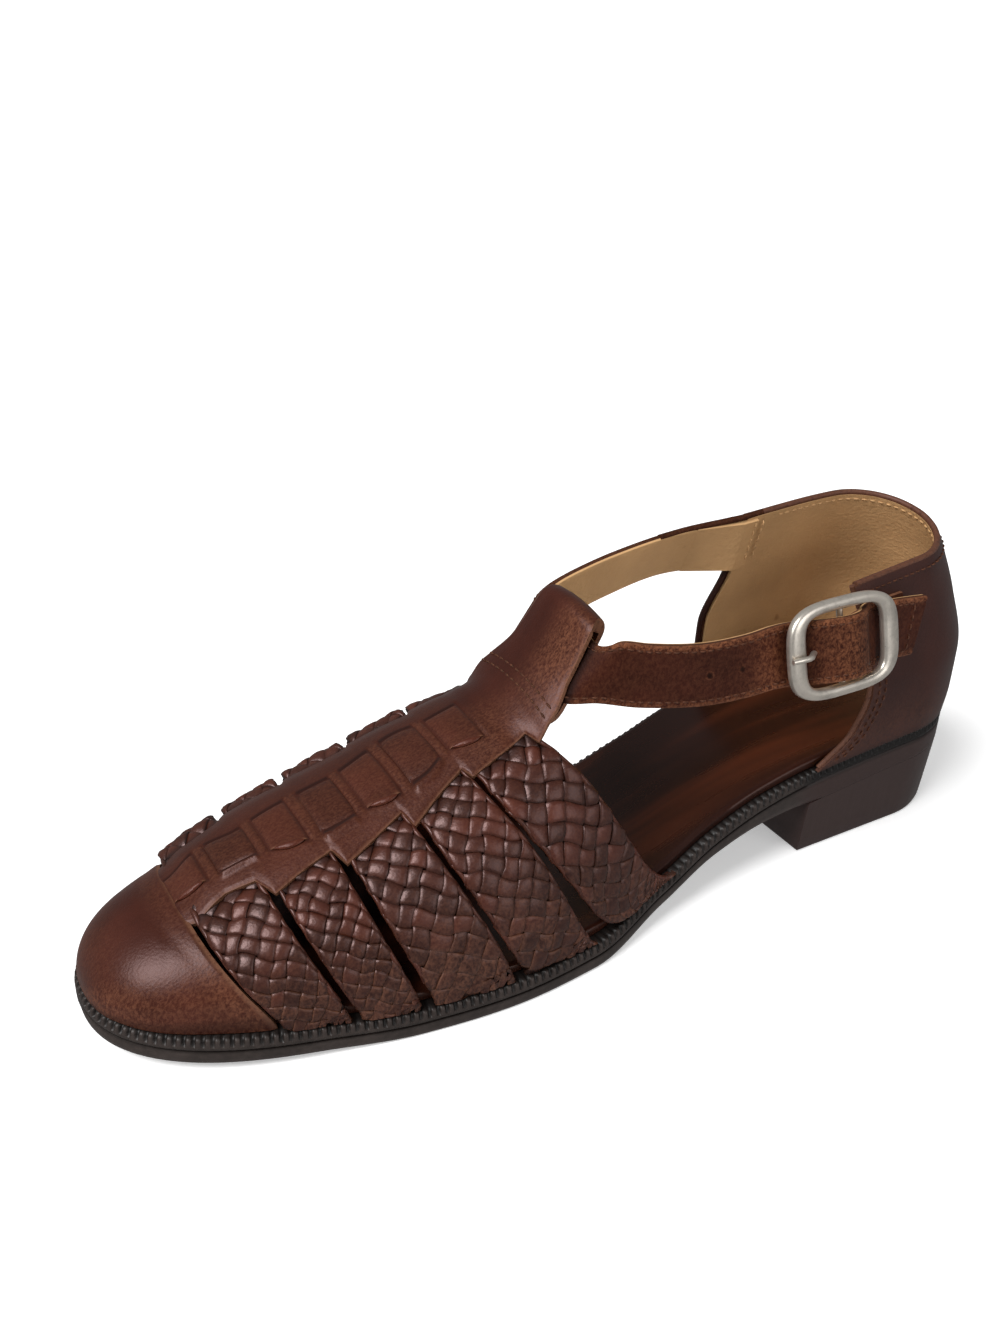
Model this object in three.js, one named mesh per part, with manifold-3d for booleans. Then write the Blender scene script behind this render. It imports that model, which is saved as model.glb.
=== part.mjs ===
// A woven leather mary jane sandal for the left foot: closed toe cap, braided side bands,
// a slit spine that rises into a T-bar loop, a closed heel counter, and an ankle strap
// that runs through the loop to a centre-bar buckle on the outer side.
// Millimetres, +X to the toe, +Y to the outer (lateral) side, +Z up.
import * as THREE from "three";
import { mergeVertices } from "three/addons/utils/BufferGeometryUtils.js";
import Module from "manifold-3d";

const wasm = await Module();
wasm.setup();

// Driving dimensions

const LAST_LENGTH = 261;
const HEEL_ROUND = 27; // length over which the last's heel rounds off in plan
const TOE_ROUND_START = 178; // station where the toe begins to taper
const TOE_PLAN_POWER = 2.2; // round almond toe in plan
const TOE_PLAN_ROOT = 0.42;
const TOE_PROFILE_POWER = 6; // blunt toe in side view
const SIDE_FULLNESS = 0.86; // 1 is an ellipse, less is squarer

const SMALLEST_STEP = 0.05; // finer steps where sheets cross are smoothed away
const GAP = 0.3; // between pieces that meet
const LEATHER = 1.9; // toe cap, spine and T-bar
const BRAID_BASE = 2.0; // wall of a braided band in its valleys
const BRAID_RELIEF = 1.1; // height of a strip over the valleys
const SPINE_LIFT = 1.5; // the spine lies on the ends of the bands
const COUNTER_WALL = 2.4; // counter leather and its lining
const INSOLE_THICKNESS = 2.4;
const INSOLE_CLEARANCE = 0.7; // to the faceted wall round it
const WELT_THICKNESS = 3.1;
const WELT_DEPTH = 11; // from the welt's edge to its inner edge
const WELT_RIB_PITCH = 3.4;
const WELT_RIB_DEPTH = 0.9;
const WELT_RIB_LEAN = 0.5; // the welt's upper edge stands back that much
const WELT_RIB_DIP = 0.4; // share of a rib's depth by which the top sinks between ribs
const SOLE_BEVEL = 0.7; // the outsole is that much smaller at its tread
const HEEL_BREAST = 66; // station of the heel's front face
const HEEL_TAPER = 1.5; // the heel is that much smaller at the floor
const STRAP_WIDTH = 17;
const STRAP_THICKNESS = 2.4;

// A row for each section of the last: station from the heel, half widths of the bottom to the
// outer and inner side, height of the bottom's edge over the floor, underside of the outsole,
// and how far the sole stands out past the last.
const BOTTOM = [
  { x: -4, lateral: 26.8, medial: 26.4, feather: 31.8, ground: 22.6, margin: 2.0 },
  { x: 30, lateral: 27.3, medial: 26.6, feather: 30.6, ground: 21.0, margin: 1.9 },
  { x: 66, lateral: 27.8, medial: 24.0, feather: 28.0, ground: 17.8, margin: 1.9 },
  { x: 82, lateral: 28.0, medial: 21.6, feather: 25.0, ground: 16.4, margin: 2.0 },
  { x: 100, lateral: 29.2, medial: 20.0, feather: 19.8, ground: 12.6, margin: 2.2 },
  { x: 120, lateral: 32.4, medial: 21.0, feather: 12.4, ground: 5.4, margin: 2.6 },
  { x: 146, lateral: 39.2, medial: 28.8, feather: 7.4, ground: 0, margin: 3.4 },
  { x: 170, lateral: 41.2, medial: 32.8, feather: 7.0, ground: 0, margin: 3.5 },
  { x: 195, lateral: 39.6, medial: 32.8, feather: 7.0, ground: 0, margin: 3.5 },
  { x: 220, lateral: 37.8, medial: 30.8, feather: 8.4, ground: 1.4, margin: 3.5 },
  { x: 246, lateral: 37.6, medial: 30.2, feather: 9.5, ground: 2.3, margin: 3.7 },
  { x: 266, lateral: 37.6, medial: 30.2, feather: 10.6, ground: 3.4, margin: 4.0 },
];

// The ridge of the instep: its height over the bottom's edge, its place across the last, and how
// the section falls from it (1 is an ellipse, less is fuller, more is hollow as beside the T-bar).
const RIDGE = [
  { x: 126, rise: 82.4, across: -1, fall: 1.9 },
  { x: 132, rise: 72, across: -1, fall: 1.8 },
  { x: 142, rise: 58.6, across: -1, fall: 1.5 },
  { x: 153, rise: 50.6, across: -1.5, fall: 1.1 },
  { x: 167, rise: 45.4, across: -2, fall: 0.9 },
  { x: 180, rise: 40.6, across: -3, fall: 0.84 },
  { x: 194, rise: 35.6, across: -3, fall: 0.84 },
  { x: 210, rise: 30.4, across: -3, fall: 0.84 },
  { x: 225, rise: 25.2, across: -2, fall: 0.84 },
  { x: 239, rise: 20.4, across: -1, fall: 0.84 },
  { x: 266, rise: 15.2, across: 0, fall: 0.84 },
];

// Smooth curve through one column of a table, with no overshoot between rows.
function column(rows, name, key = "x") {
  const xs = rows.map((row) => row[key]);
  const ys = rows.map((row) => row[name]);
  const slopes = ys.slice(1).map((y, i) => (y - ys[i]) / (xs[i + 1] - xs[i]));
  const tangents = ys.map((_, i) => {
    const before = slopes[Math.max(i - 1, 0)];
    const after = slopes[Math.min(i, slopes.length - 1)];
    return before * after <= 0 ? 0 : (2 * before * after) / (before + after);
  });
  return (x) => {
    const at = THREE.MathUtils.clamp(x, xs[0], xs[xs.length - 1]);
    let i = 0;
    while (i < xs.length - 2 && at > xs[i + 1]) i += 1;
    const step = xs[i + 1] - xs[i];
    const t = (at - xs[i]) / step;
    const rise = t * t * (3 - 2 * t);
    const leave = t * (1 - t) * (1 - t) * step * tangents[i];
    const arrive = t * t * (1 - t) * step * tangents[i + 1];
    return ys[i] * (1 - rise) + ys[i + 1] * rise + leave - arrive;
  };
}

// The same with straight runs between rows, for an edge with corners.
function straight(rows, name) {
  return (x) => {
    const next = rows.findIndex((row) => row.x >= x);
    const i = next < 0 ? rows.length - 2 : Math.max(next - 1, 0);
    const share = THREE.MathUtils.clamp((x - rows[i].x) / (rows[i + 1].x - rows[i].x), 0, 1);
    return THREE.MathUtils.lerp(rows[i][name], rows[i + 1][name], share);
  };
}

const lateralWidth = column(BOTTOM, "lateral");
const medialWidth = column(BOTTOM, "medial");
const featherHeight = column(BOTTOM, "feather");
const groundHeight = column(BOTTOM, "ground");
const soleMargin = column(BOTTOM, "margin");
const ridgeRise = column(RIDGE, "rise");
const ridgeAcross = column(RIDGE, "across");
const ridgeFall = column(RIDGE, "fall");

// Solids

// A closed body from vertices and triangles whose equal vertices are merged.
function solid(points, triangles) {
  const raw = new THREE.BufferGeometry().setFromPoints(points);
  raw.setIndex(triangles.flat());
  const merged = mergeVertices(raw, 1e-4);
  const kept = [];
  const index = merged.index.array;
  for (let i = 0; i < index.length; i += 3) {
    const [a, b, c] = [index[i], index[i + 1], index[i + 2]];
    if (a !== b && b !== c && a !== c) kept.push(a, b, c);
  }
  const body = new wasm.Manifold(
    new wasm.Mesh({
      numProp: 3,
      vertProperties: new Float32Array(merged.attributes.position.array),
      triVerts: new Uint32Array(kept),
    }),
  );
  if (body.volume() > 0) return body;
  const turned = kept.map((_, i) => kept[i % 3 === 0 ? i : i % 3 === 1 ? i + 1 : i - 1]);
  return new wasm.Manifold(
    new wasm.Mesh({
      numProp: 3,
      vertProperties: new Float32Array(merged.attributes.position.array),
      triVerts: new Uint32Array(turned),
    }),
  );
}

// A sheet of wall between an outer and an inner surface, each a function of a row and a place in it.
// A braided sheet splits its outer squares so that every second point can stand up as the middle
// of a diamond, and its plain inner surface has half as many points each way.
function sheet(rows, columns, outer, inner, braided = false) {
  const points = [];
  const triangles = [];
  const skip = braided ? 2 : 1;
  const number = (side, i, j) => {
    const wide = columns / (side ? skip : 1) + 1;
    const first = side ? (rows + 1) * (columns + 1) : 0;
    return first + (i / (side ? skip : 1)) * wide + j / (side ? skip : 1);
  };
  for (const [surface, step] of [[outer, 1], [inner, skip]]) {
    for (let i = 0; i <= rows; i += step) {
      for (let j = 0; j <= columns; j += step) points.push(surface(i, j));
    }
  }
  for (const [side, step] of [[0, 1], [1, skip]]) {
    for (let i = 0; i < rows; i += step) {
      for (let j = 0; j < columns; j += step) {
        const a = number(side, i, j);
        const b = number(side, i, j + step);
        const c = number(side, i + step, j);
        const d = number(side, i + step, j + step);
        const turned = braided && !side && (i + j) % 2 === 1;
        const pair = turned ? [[a, b, c], [b, d, c]] : [[a, b, d], [a, d, c]];
        triangles.push(...(side ? pair.map(([p, q, r]) => [p, r, q]) : pair));
      }
    }
  }
  const corners = [[0, 0], [0, columns], [rows, columns], [rows, 0]];
  corners.forEach(([i, j], k) => {
    const [endI, endJ] = corners[(k + 1) % 4];
    const length = Math.abs(endI - i) + Math.abs(endJ - j);
    const at = (n) => [i + (Math.sign(endI - i) * n), j + (Math.sign(endJ - j) * n)];
    for (let n = 0; n < length; n += skip) {
      const from = number(1, ...at(n));
      const to = number(1, ...at(n + skip));
      for (let m = 0; m < skip; m += 1) {
        const low = m === 0 ? from : to;
        triangles.push([number(0, ...at(n + m)), low, number(0, ...at(n + m + 1))]);
      }
      triangles.push([number(0, ...at(n + 1)), from, to]);
    }
  });
  return solid(points, triangles);
}

// A bar of sections: section(i) gives the same number of points round each section. A closed
// bar runs back into its start, and an open one has flat ends.
function bar(count, section, closed = false) {
  const points = [];
  const triangles = [];
  let round = 0;
  for (let i = 0; i <= count; i += 1) {
    const ring = section(closed ? i % count : i);
    round = ring.length;
    points.push(...ring);
  }
  for (let i = 0; i < count; i += 1) {
    for (let k = 0; k < round; k += 1) {
      const a = i * round + k;
      const b = i * round + ((k + 1) % round);
      triangles.push([a, b, b + round], [a, b + round, a + round]);
    }
  }
  for (let k = 1; k < round - 1 && !closed; k += 1) {
    triangles.push([0, k + 1, k]);
    const last = count * round;
    triangles.push([last, last + k, last + k + 1]);
  }
  return solid(points, triangles);
}

// The body with the small voids that were closed in between joined sheets filled.
function filled(joined) {
  const shells = joined.decompose();
  const body = shells.reduce((largest, shell) => (shell.volume() > largest.volume() ? shell : largest));
  return body.simplify(SMALLEST_STEP);
}

function mesh(name, body, material) {
  const made = body.getMesh();
  const geometry = new THREE.BufferGeometry();
  const flat = new Float32Array(made.numVert * 3);
  for (let i = 0; i < made.numVert; i += 1) {
    flat.set(made.vertProperties.subarray(i * made.numProp, i * made.numProp + 3), i * 3);
  }
  geometry.setAttribute("position", new THREE.BufferAttribute(flat, 3));
  geometry.setIndex(new THREE.BufferAttribute(made.triVerts, 1));
  geometry.computeVertexNormals();
  const result = new THREE.Mesh(geometry, material);
  result.name = name;
  return result;
}

// The last

// Share of the full width that is left at a station, from the round heel and the tapering toe,
// on an outline that stands out from the last by grow.
function planRound(x, grow = 0) {
  const heel = THREE.MathUtils.clamp(1 - (x + grow) / (HEEL_ROUND + grow), 0, 1);
  const span = LAST_LENGTH - TOE_ROUND_START + grow;
  const toe = THREE.MathUtils.clamp((x - TOE_ROUND_START) / span, 0, 1);
  return Math.sqrt(1 - heel * heel) * (1 - toe ** TOE_PLAN_POWER) ** TOE_PLAN_ROOT;
}

// The bottom's edge at a station: side is 1 for the outer side and -1 for the inner side.
function edge(x, side, grow = 0) {
  const width = (side > 0 ? lateralWidth(x) : medialWidth(x)) + grow;
  return side * width * planRound(x, grow);
}

// A point of the last at a station: angle runs from 0 at the outer edge, over the ridge at a
// quarter turn, to a half turn at the inner edge.
function lastPoint(x, angle) {
  const toe = THREE.MathUtils.clamp((x - TOE_ROUND_START) / (LAST_LENGTH - TOE_ROUND_START), 0, 1);
  const rise = ridgeRise(x) * Math.sqrt(1 - toe ** TOE_PROFILE_POWER);
  const side = angle < Math.PI / 2 ? 1 : -1;
  const ridge = ridgeAcross(x) * planRound(x);
  const reach = Math.abs(Math.cos(angle)) ** SIDE_FULLNESS;
  const climb = Math.max(Math.sin(angle), 0) ** ridgeFall(x);
  const y = ridge + (edge(x, side) - ridge) * reach;
  return new THREE.Vector3(x, y, featherHeight(x) + GAP + rise * climb);
}

const NORMAL_TURN = 0.02; // radians to each side of a point for its normal
const NORMAL_RUN = 0.2; // and millimetres along the last
const NORMAL_TIP = 0.4; // closer to the toe's tip the normal stays as it is

// The angle at which a section of the last is a given way across.
function angleAcross(x, y) {
  const ridge = ridgeAcross(x) * planRound(x);
  const side = y > ridge ? 1 : -1;
  const reach = THREE.MathUtils.clamp((y - ridge) / (edge(x, side) - ridge), 0, 1);
  const turn = Math.acos(reach ** (1 / SIDE_FULLNESS));
  return side > 0 ? turn : Math.PI - turn;
}

// The same point lifted off the last along its normal.
function skin(x, angle, lift) {
  const at = THREE.MathUtils.clamp(angle, NORMAL_TURN, Math.PI - NORMAL_TURN);
  const station = Math.min(x, LAST_LENGTH - NORMAL_TIP);
  const along = lastPoint(station + NORMAL_RUN, at).sub(lastPoint(station - NORMAL_RUN, at));
  const around = lastPoint(station, at + NORMAL_TURN).sub(lastPoint(station, at - NORMAL_TURN));
  const normal = around.cross(along).normalize();
  const point = lastPoint(x, angle).addScaledVector(normal, lift);
  point.z = Math.max(point.z, featherHeight(x) + GAP);
  return point;
}

// Sole

const STATIONS = 56;
const EDGE_STEPS = 400; // points to each side from which the ribs' even spacing is measured
const SOLE_HEEL = -soleMargin(0);
const SOLE_TOE = LAST_LENGTH + soleMargin(LAST_LENGTH);
const weltUnder = (x) => featherHeight(x) - WELT_THICKNESS;

// Shares crowded at both rounded ends, or at the first alone.
const bothEnds = (share) => (1 - Math.cos(Math.PI * share)) / 2;
const oneEnd = (share) => 1 - Math.cos((Math.PI / 2) * share);

// A plate between two outlines, each with its ends, its growth past the last and its height.
// The spacing gives the share of the way along at which each of its stations lies.
function plate(top, bottom, stations = STATIONS, spacing = bothEnds) {
  return bar(stations, (i) => {
    const ring = [];
    for (const [level, sides] of [[top, [1, -1]], [bottom, [-1, 1]]]) {
      const x = THREE.MathUtils.lerp(level.from, level.to, spacing(i / stations));
      for (const side of sides) {
        ring.push(new THREE.Vector3(x, edge(x, side, level.grow(x)), level.height(x)));
      }
    }
    return ring;
  });
}

function outsole() {
  const top = { from: SOLE_HEEL, to: SOLE_TOE, grow: soleMargin, height: (x) => weltUnder(x) - GAP };
  const grow = (x) => soleMargin(x) - SOLE_BEVEL;
  const ends = { from: SOLE_HEEL + SOLE_BEVEL, to: SOLE_TOE - SOLE_BEVEL };
  return plate(top, { ...ends, grow, height: groundHeight });
}

function heel() {
  const top = { from: SOLE_HEEL, to: HEEL_BREAST, grow: soleMargin, height: (x) => groundHeight(x) - GAP };
  const grow = (x) => soleMargin(x) - HEEL_TAPER;
  const bottom = { from: SOLE_HEEL + HEEL_TAPER, to: HEEL_BREAST, grow, height: () => 0 };
  return plate(top, bottom, STATIONS / 2, oneEnd);
}

function insole() {
  const grow = () => -INSOLE_CLEARANCE;
  const under = (x) => featherHeight(x) + GAP;
  const over = (x) => under(x) + INSOLE_THICKNESS;
  const ends = { from: INSOLE_CLEARANCE, to: LAST_LENGTH - INSOLE_CLEARANCE, grow };
  return plate({ ...ends, height: over }, { ...ends, height: under });
}

// The sole's edge as a closed run of points, two for each rib, from the heel round the toe and back.
function soleRun() {
  const dense = [];
  const point = (i, side) => {
    const x = THREE.MathUtils.lerp(SOLE_HEEL, SOLE_TOE, bothEnds(i / EDGE_STEPS));
    return new THREE.Vector3(x, edge(x, side, soleMargin(x)), 0);
  };
  for (let i = 0; i < EDGE_STEPS; i += 1) dense.push(point(i, 1));
  for (let i = EDGE_STEPS; i > 0; i -= 1) dense.push(point(i, -1));
  const lengths = [0];
  for (let i = 1; i <= dense.length; i += 1) {
    lengths.push(lengths[i - 1] + dense[i % dense.length].distanceTo(dense[i - 1]));
  }
  const total = lengths[dense.length];
  const number = 2 * Math.round(total / WELT_RIB_PITCH);
  const run = [];
  let k = 0;
  for (let i = 0; i < number; i += 1) {
    const at = (total * i) / number;
    while (lengths[k + 1] < at) k += 1;
    const share = (at - lengths[k]) / (lengths[k + 1] - lengths[k]);
    run.push(dense[k].clone().lerp(dense[(k + 1) % dense.length], share));
  }
  return run;
}

// The welt: a flat strip all round whose upper edge is pressed into ribs.
function welt() {
  const run = soleRun();
  const number = run.length;
  return bar(
    number,
    (i) => {
      const here = run[i];
      const along = run[(i + 1) % number].clone().sub(run[(i + number - 1) % number]).normalize();
      const inward = new THREE.Vector3(-along.y, along.x, 0).negate();
      const pressed = i % 2 === 0 ? 0 : WELT_RIB_DEPTH;
      const place = (depth, height) => {
        const point = here.clone().addScaledVector(inward, depth);
        point.z = height(point.x);
        return point;
      };
      return [
        place(0, weltUnder),
        place(pressed + WELT_RIB_LEAN, (x) => featherHeight(x) - pressed * WELT_RIB_DIP),
        place(WELT_DEPTH, featherHeight),
        place(WELT_DEPTH, weltUnder),
      ];
    },
    true,
  );
}

// Vamp

// A row for each braided band: where its front and rear edges leave the spine and meet the welt,
// where its front edge does so on the inner side, and how its rear edge bends.
const BANDS = [
  { topFront: 238.4, topRear: 222.2, footFront: 226.4, innerFoot: 226.4, footRear: 211, rearBend: 2.4 },
  { topFront: 220.4, topRear: 205.4, footFront: 209.2, innerFoot: 209.2, footRear: 194.5, rearBend: 2.4 },
  { topFront: 203.2, topRear: 187, footFront: 192, innerFoot: 192, footRear: 170.5, rearBend: 1.95 },
  { topFront: 185, topRear: 170.4, footFront: 168, innerFoot: 168, footRear: 145.5, rearBend: 1.75 },
  { topFront: 168.6, topRear: 155, footFront: 134, innerFoot: 143, footRear: 116, rearBend: 1.2 },
];
const BAND_ALONG = 12;
const BAND_ACROSS = 6;
const BAND_TOP = 7; // how far from the ridge a band ends, under the spine
const BAND_BEND = 2.4; // how its front edge bends
const BAND_RIM = 0.5; // share of its thickness that is left at its edges

function band(row, side) {
  const frontFoot = side > 0 ? row.footFront : row.innerFoot;
  const place = (i, j) => {
    const share = i / BAND_ALONG;
    const front = THREE.MathUtils.lerp(row.topFront, frontFoot, share ** BAND_BEND);
    const rear = THREE.MathUtils.lerp(row.topRear, row.footRear, share ** row.rearBend);
    const x = THREE.MathUtils.lerp(front, rear, j / BAND_ACROSS);
    const top = angleAcross(x, ridgeAcross(x) + side * BAND_TOP);
    const foot = side > 0 ? 0 : Math.PI;
    return [x, THREE.MathUtils.lerp(top, foot, share)];
  };
  const outer = (i, j) => {
    const raised = (i + j) % 2 === 1 ? BRAID_RELIEF : 0;
    const rim = j === 0 || j === BAND_ACROSS ? BAND_RIM : 1;
    return skin(...place(i, j), BRAID_BASE * rim + raised * rim);
  };
  const inner = (i, j) => skin(...place(i, j), 0);
  return sheet(BAND_ALONG, BAND_ACROSS, outer, inner, true);
}

const CAP_ROWS = 9;
const CAP_COLUMNS = 20;
const CAP_REAR_TOP = 239.8; // the cap's rear edge at the spine
const CAP_REAR_FOOT = 227.8; // and at the welt
const CAP_CURVE = 2.4; // how the edge bends between them

function toeCap() {
  const place = (i, j) => {
    const angle = (Math.PI * j) / CAP_COLUMNS;
    const down = Math.abs(1 - (2 * angle) / Math.PI) ** CAP_CURVE;
    const rear = THREE.MathUtils.lerp(CAP_REAR_TOP, CAP_REAR_FOOT, down);
    const x = THREE.MathUtils.lerp(rear, LAST_LENGTH, Math.sin((Math.PI / 2) * (i / CAP_ROWS)));
    return [x, angle];
  };
  const surface = (lift) => (i, j) => skin(...place(i, j), lift);
  return sheet(CAP_ROWS, CAP_COLUMNS, surface(LEATHER), surface(0));
}

// The spine from the cap to the top of the T-bar
const SPINE_START = 241.5;
const BAR_TOP = 130.6;
const SPINE_COLUMNS = 5;
const SPINE_STEP = 4; // longest stretch between two of its sections

// The spine's edges, as ways out from the ridge. They jut out over each gap between two bands
// and draw in again over the next band, and flare where the T-bar begins.
const SPINE_EDGE = [
  { x: 128, lateral: 13.6, medial: 7.2 },
  { x: 139.5, lateral: 15.4, medial: 10.2 },
  { x: 144, lateral: 17.6, medial: 12.6 },
  { x: 150.8, lateral: 19.2, medial: 15 },
  { x: 152.6, lateral: 15.5, medial: 13 },
  { x: 168.8, lateral: 19, medial: 14.5 },
  { x: 170.2, lateral: 16, medial: 12 },
  { x: 186, lateral: 22.8, medial: 15 },
  { x: 187.2, lateral: 18.1, medial: 12.5 },
  { x: 203.6, lateral: 22.3, medial: 15 },
  { x: 205.4, lateral: 17.4, medial: 12.5 },
  { x: 220.6, lateral: 19.5, medial: 14.5 },
  { x: 223.3, lateral: 13.8, medial: 12 },
  { x: 230, lateral: 11.9, medial: 11.5 },
  { x: 238.2, lateral: 12.8, medial: 12.5 },
  { x: 240.5, lateral: 11.5, medial: 11.5 },
  { x: 246, lateral: 9, medial: 9 },
];
const lateralReach = straight(SPINE_EDGE, "lateral");
const medialReach = straight(SPINE_EDGE, "medial");

const BAR_ROUND = 48; // radius of the T-bar across
const BAR_BLEND = [146, 155]; // stations between which the T-bar leaves the last

// A point of the T-bar, a gently arched strap that follows the ridge.
function barPoint(x, y, lift) {
  const ridgeHeight = (at) => featherHeight(at) + GAP + ridgeRise(at);
  const aside = y - ridgeAcross(x);
  const slope = (ridgeHeight(x + NORMAL_RUN) - ridgeHeight(x - NORMAL_RUN)) / (2 * NORMAL_RUN);
  const normal = new THREE.Vector3(-slope, aside / BAR_ROUND, 1).normalize();
  const z = ridgeHeight(x) - aside ** 2 / (2 * BAR_ROUND);
  return new THREE.Vector3(x, y, z).addScaledVector(normal, lift);
}

function spinePoint(x, across, lift) {
  const y = ridgeAcross(x) + across * (across > 0 ? lateralReach(x) : medialReach(x));
  const onLast = skin(x, angleAcross(x, y), lift);
  return barPoint(x, y, lift).lerp(onLast, THREE.MathUtils.smoothstep(x, ...BAR_BLEND));
}

// Stations of the spine's sections, with one at each corner of its edges.
function spineStations(from, to) {
  const corners = SPINE_EDGE.map((row) => row.x).filter((x) => x < from && x > to);
  const ends = [from, ...corners.reverse(), to];
  const stations = [];
  for (let i = 0; i < ends.length - 1; i += 1) {
    const parts = Math.ceil((ends[i] - ends[i + 1]) / SPINE_STEP);
    for (let k = 0; k < parts; k += 1) {
      stations.push(THREE.MathUtils.lerp(ends[i], ends[i + 1], k / parts));
    }
  }
  return [...stations, to];
}

function spineSheet(from, to, low, high, width = 1) {
  const stations = spineStations(from, to);
  const surface = (lift) => (i, j) => {
    const across = THREE.MathUtils.lerp(width, -width, j / SPINE_COLUMNS);
    return spinePoint(stations[i], across, lift(stations[i]));
  };
  return sheet(stations.length - 1, SPINE_COLUMNS, surface(high), surface(low));
}

const TUNNEL_TOP = 132.4; // the strap's tunnel in the T-bar, from its fold
const TUNNEL_FOOT = 145; // to its seam
const TUNNEL_HALF = 2.2; // half its height
const LOOP_FOOT = 151; // where the turned-in end dies out under the spine
const LOOP_WIDTH = 0.86; // the turned-in end is that share as wide as the T-bar
const LOOP_RUN = 5; // length over which the spine rises on to the tunnel
const SKIVE = 0.3; // the turned-in end is that much thinner
const SEAT_RUN = [1.5, 9.5]; // the spine rises off the cap that far from its start
const SHEET_STEP = 0.05; // crossing sheets keep that clear of each other's faces

function spine() {
  const under = LEATHER - SKIVE;
  const rise = (x) => {
    const seated = SPINE_LIFT * THREE.MathUtils.smoothstep(SPINE_START - x, ...SEAT_RUN);
    return seated + (TUNNEL_HALF - SPINE_LIFT) * THREE.MathUtils.smoothstep(LOOP_FOOT - x, 0, LOOP_RUN);
  };
  const turned = (x) => {
    const sunk = THREE.MathUtils.smoothstep(LOOP_FOOT - x, 1, LOOP_FOOT - TUNNEL_FOOT);
    return THREE.MathUtils.lerp(SPINE_LIFT + SKIVE, -TUNNEL_HALF, sunk);
  };
  const bottom = (x) => rise(x) + SHEET_STEP;
  const top = (x) => rise(x) + LEATHER - SHEET_STEP;
  const front = spineSheet(SPINE_START, BAR_TOP, bottom, top);
  const back = spineSheet(LOOP_FOOT, BAR_TOP, (x) => turned(x) - under, turned, LOOP_WIDTH);
  const fold = spineSheet(TUNNEL_TOP, BAR_TOP, () => -TUNNEL_HALF - under, top, LOOP_WIDTH);
  return front.add(back).add(fold);
}

function vamp() {
  let body = toeCap().add(spine());
  for (const row of BANDS) {
    body = body.add(band(row, 1)).add(band(row, -1));
  }
  return filled(body);
}

// Counter

// The counter's front edge on each side and its lean, by share of its height.
const COUNTER_RISE = [
  { share: 0, lateralFront: 65, medialFront: 69, back: -0.4, side: 0 },
  { share: 0.15, lateralFront: 54, medialFront: 66.5, back: 0.3, side: 0.4 },
  { share: 0.38, lateralFront: 49, medialFront: 66.5, back: 0.2, side: 0.2 },
  { share: 0.7, lateralFront: 51, medialFront: 61.5, back: -4.8, side: -2.8 },
  { share: 1, lateralFront: 57, medialFront: 61, back: -12, side: -5.8 },
];
const COUNTER_TOP = [
  { turn: -1, height: 86 },
  { turn: -0.5, height: 88.5 },
  { turn: 0, height: 87 },
  { turn: 0.5, height: 83.5 },
  { turn: 1, height: 81.5 },
];
const lateralFront = column(COUNTER_RISE, "lateralFront", "share");
const medialFront = column(COUNTER_RISE, "medialFront", "share");
const backLean = column(COUNTER_RISE, "back", "share");
const sideLean = column(COUNTER_RISE, "side", "share");
const collarHeight = column(COUNTER_TOP, "height", "turn");
const COUNTER_ROWS = 8;
const COUNTER_TURNS = 24;
const COUNTER_BLEND = 1.5; // how the lean changes from the back to the sides
const TURN_STEP = 0.01; // share of a turn to each side for the direction along it

// A point of the counter: turn runs from 1 at the outer front edge, over 0 at the back, to -1.
function counterPoint(turn, share, lift) {
  const side = turn >= 0 ? 1 : -1;
  const front = side > 0 ? lateralFront(share) : medialFront(share);
  const along = (t) => {
    const x = front * (1 - Math.cos((Math.PI * t) / 2));
    return new THREE.Vector3(x, edge(x, t >= 0 ? 1 : -1), 0);
  };
  const tangent = along(turn + TURN_STEP).sub(along(turn - TURN_STEP)).normalize();
  const outward = new THREE.Vector3(-tangent.y, tangent.x, 0);
  const sideways = Math.abs(turn) ** COUNTER_BLEND;
  const lean = THREE.MathUtils.lerp(backLean(share), sideLean(share), sideways);
  const point = along(turn).addScaledVector(outward, lean + lift);
  const foot = featherHeight(Math.max(point.x, 0)) + GAP;
  point.z = THREE.MathUtils.lerp(foot, collarHeight(turn), share);
  return point;
}

function counter() {
  const surface = (lift) => (i, j) => counterPoint(1 - (2 * j) / COUNTER_TURNS, i / COUNTER_ROWS, lift);
  return sheet(COUNTER_ROWS, COUNTER_TURNS, surface(COUNTER_WALL), surface(0));
}

// Ankle strap

const TUNNEL_SEAT = 0.42; // share of the way down the tunnel at which the strap is pulled up
const TUNNEL_BOW = 0.75; // the T-bar is that hollow between the tunnel's ends

// The strap where it lies in the T-bar's tunnel, a given way across.
function inTunnel(y) {
  const high = barPoint(TUNNEL_TOP, y, 0);
  const low = barPoint(TUNNEL_FOOT, y, 0);
  const upright = high.clone().sub(low).normalize();
  const middle = high.lerp(low, TUNNEL_SEAT);
  return { x: middle.x, y: middle.y, z: middle.z - TUNNEL_BOW, forward: upright.x, out: upright.y };
}

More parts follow.
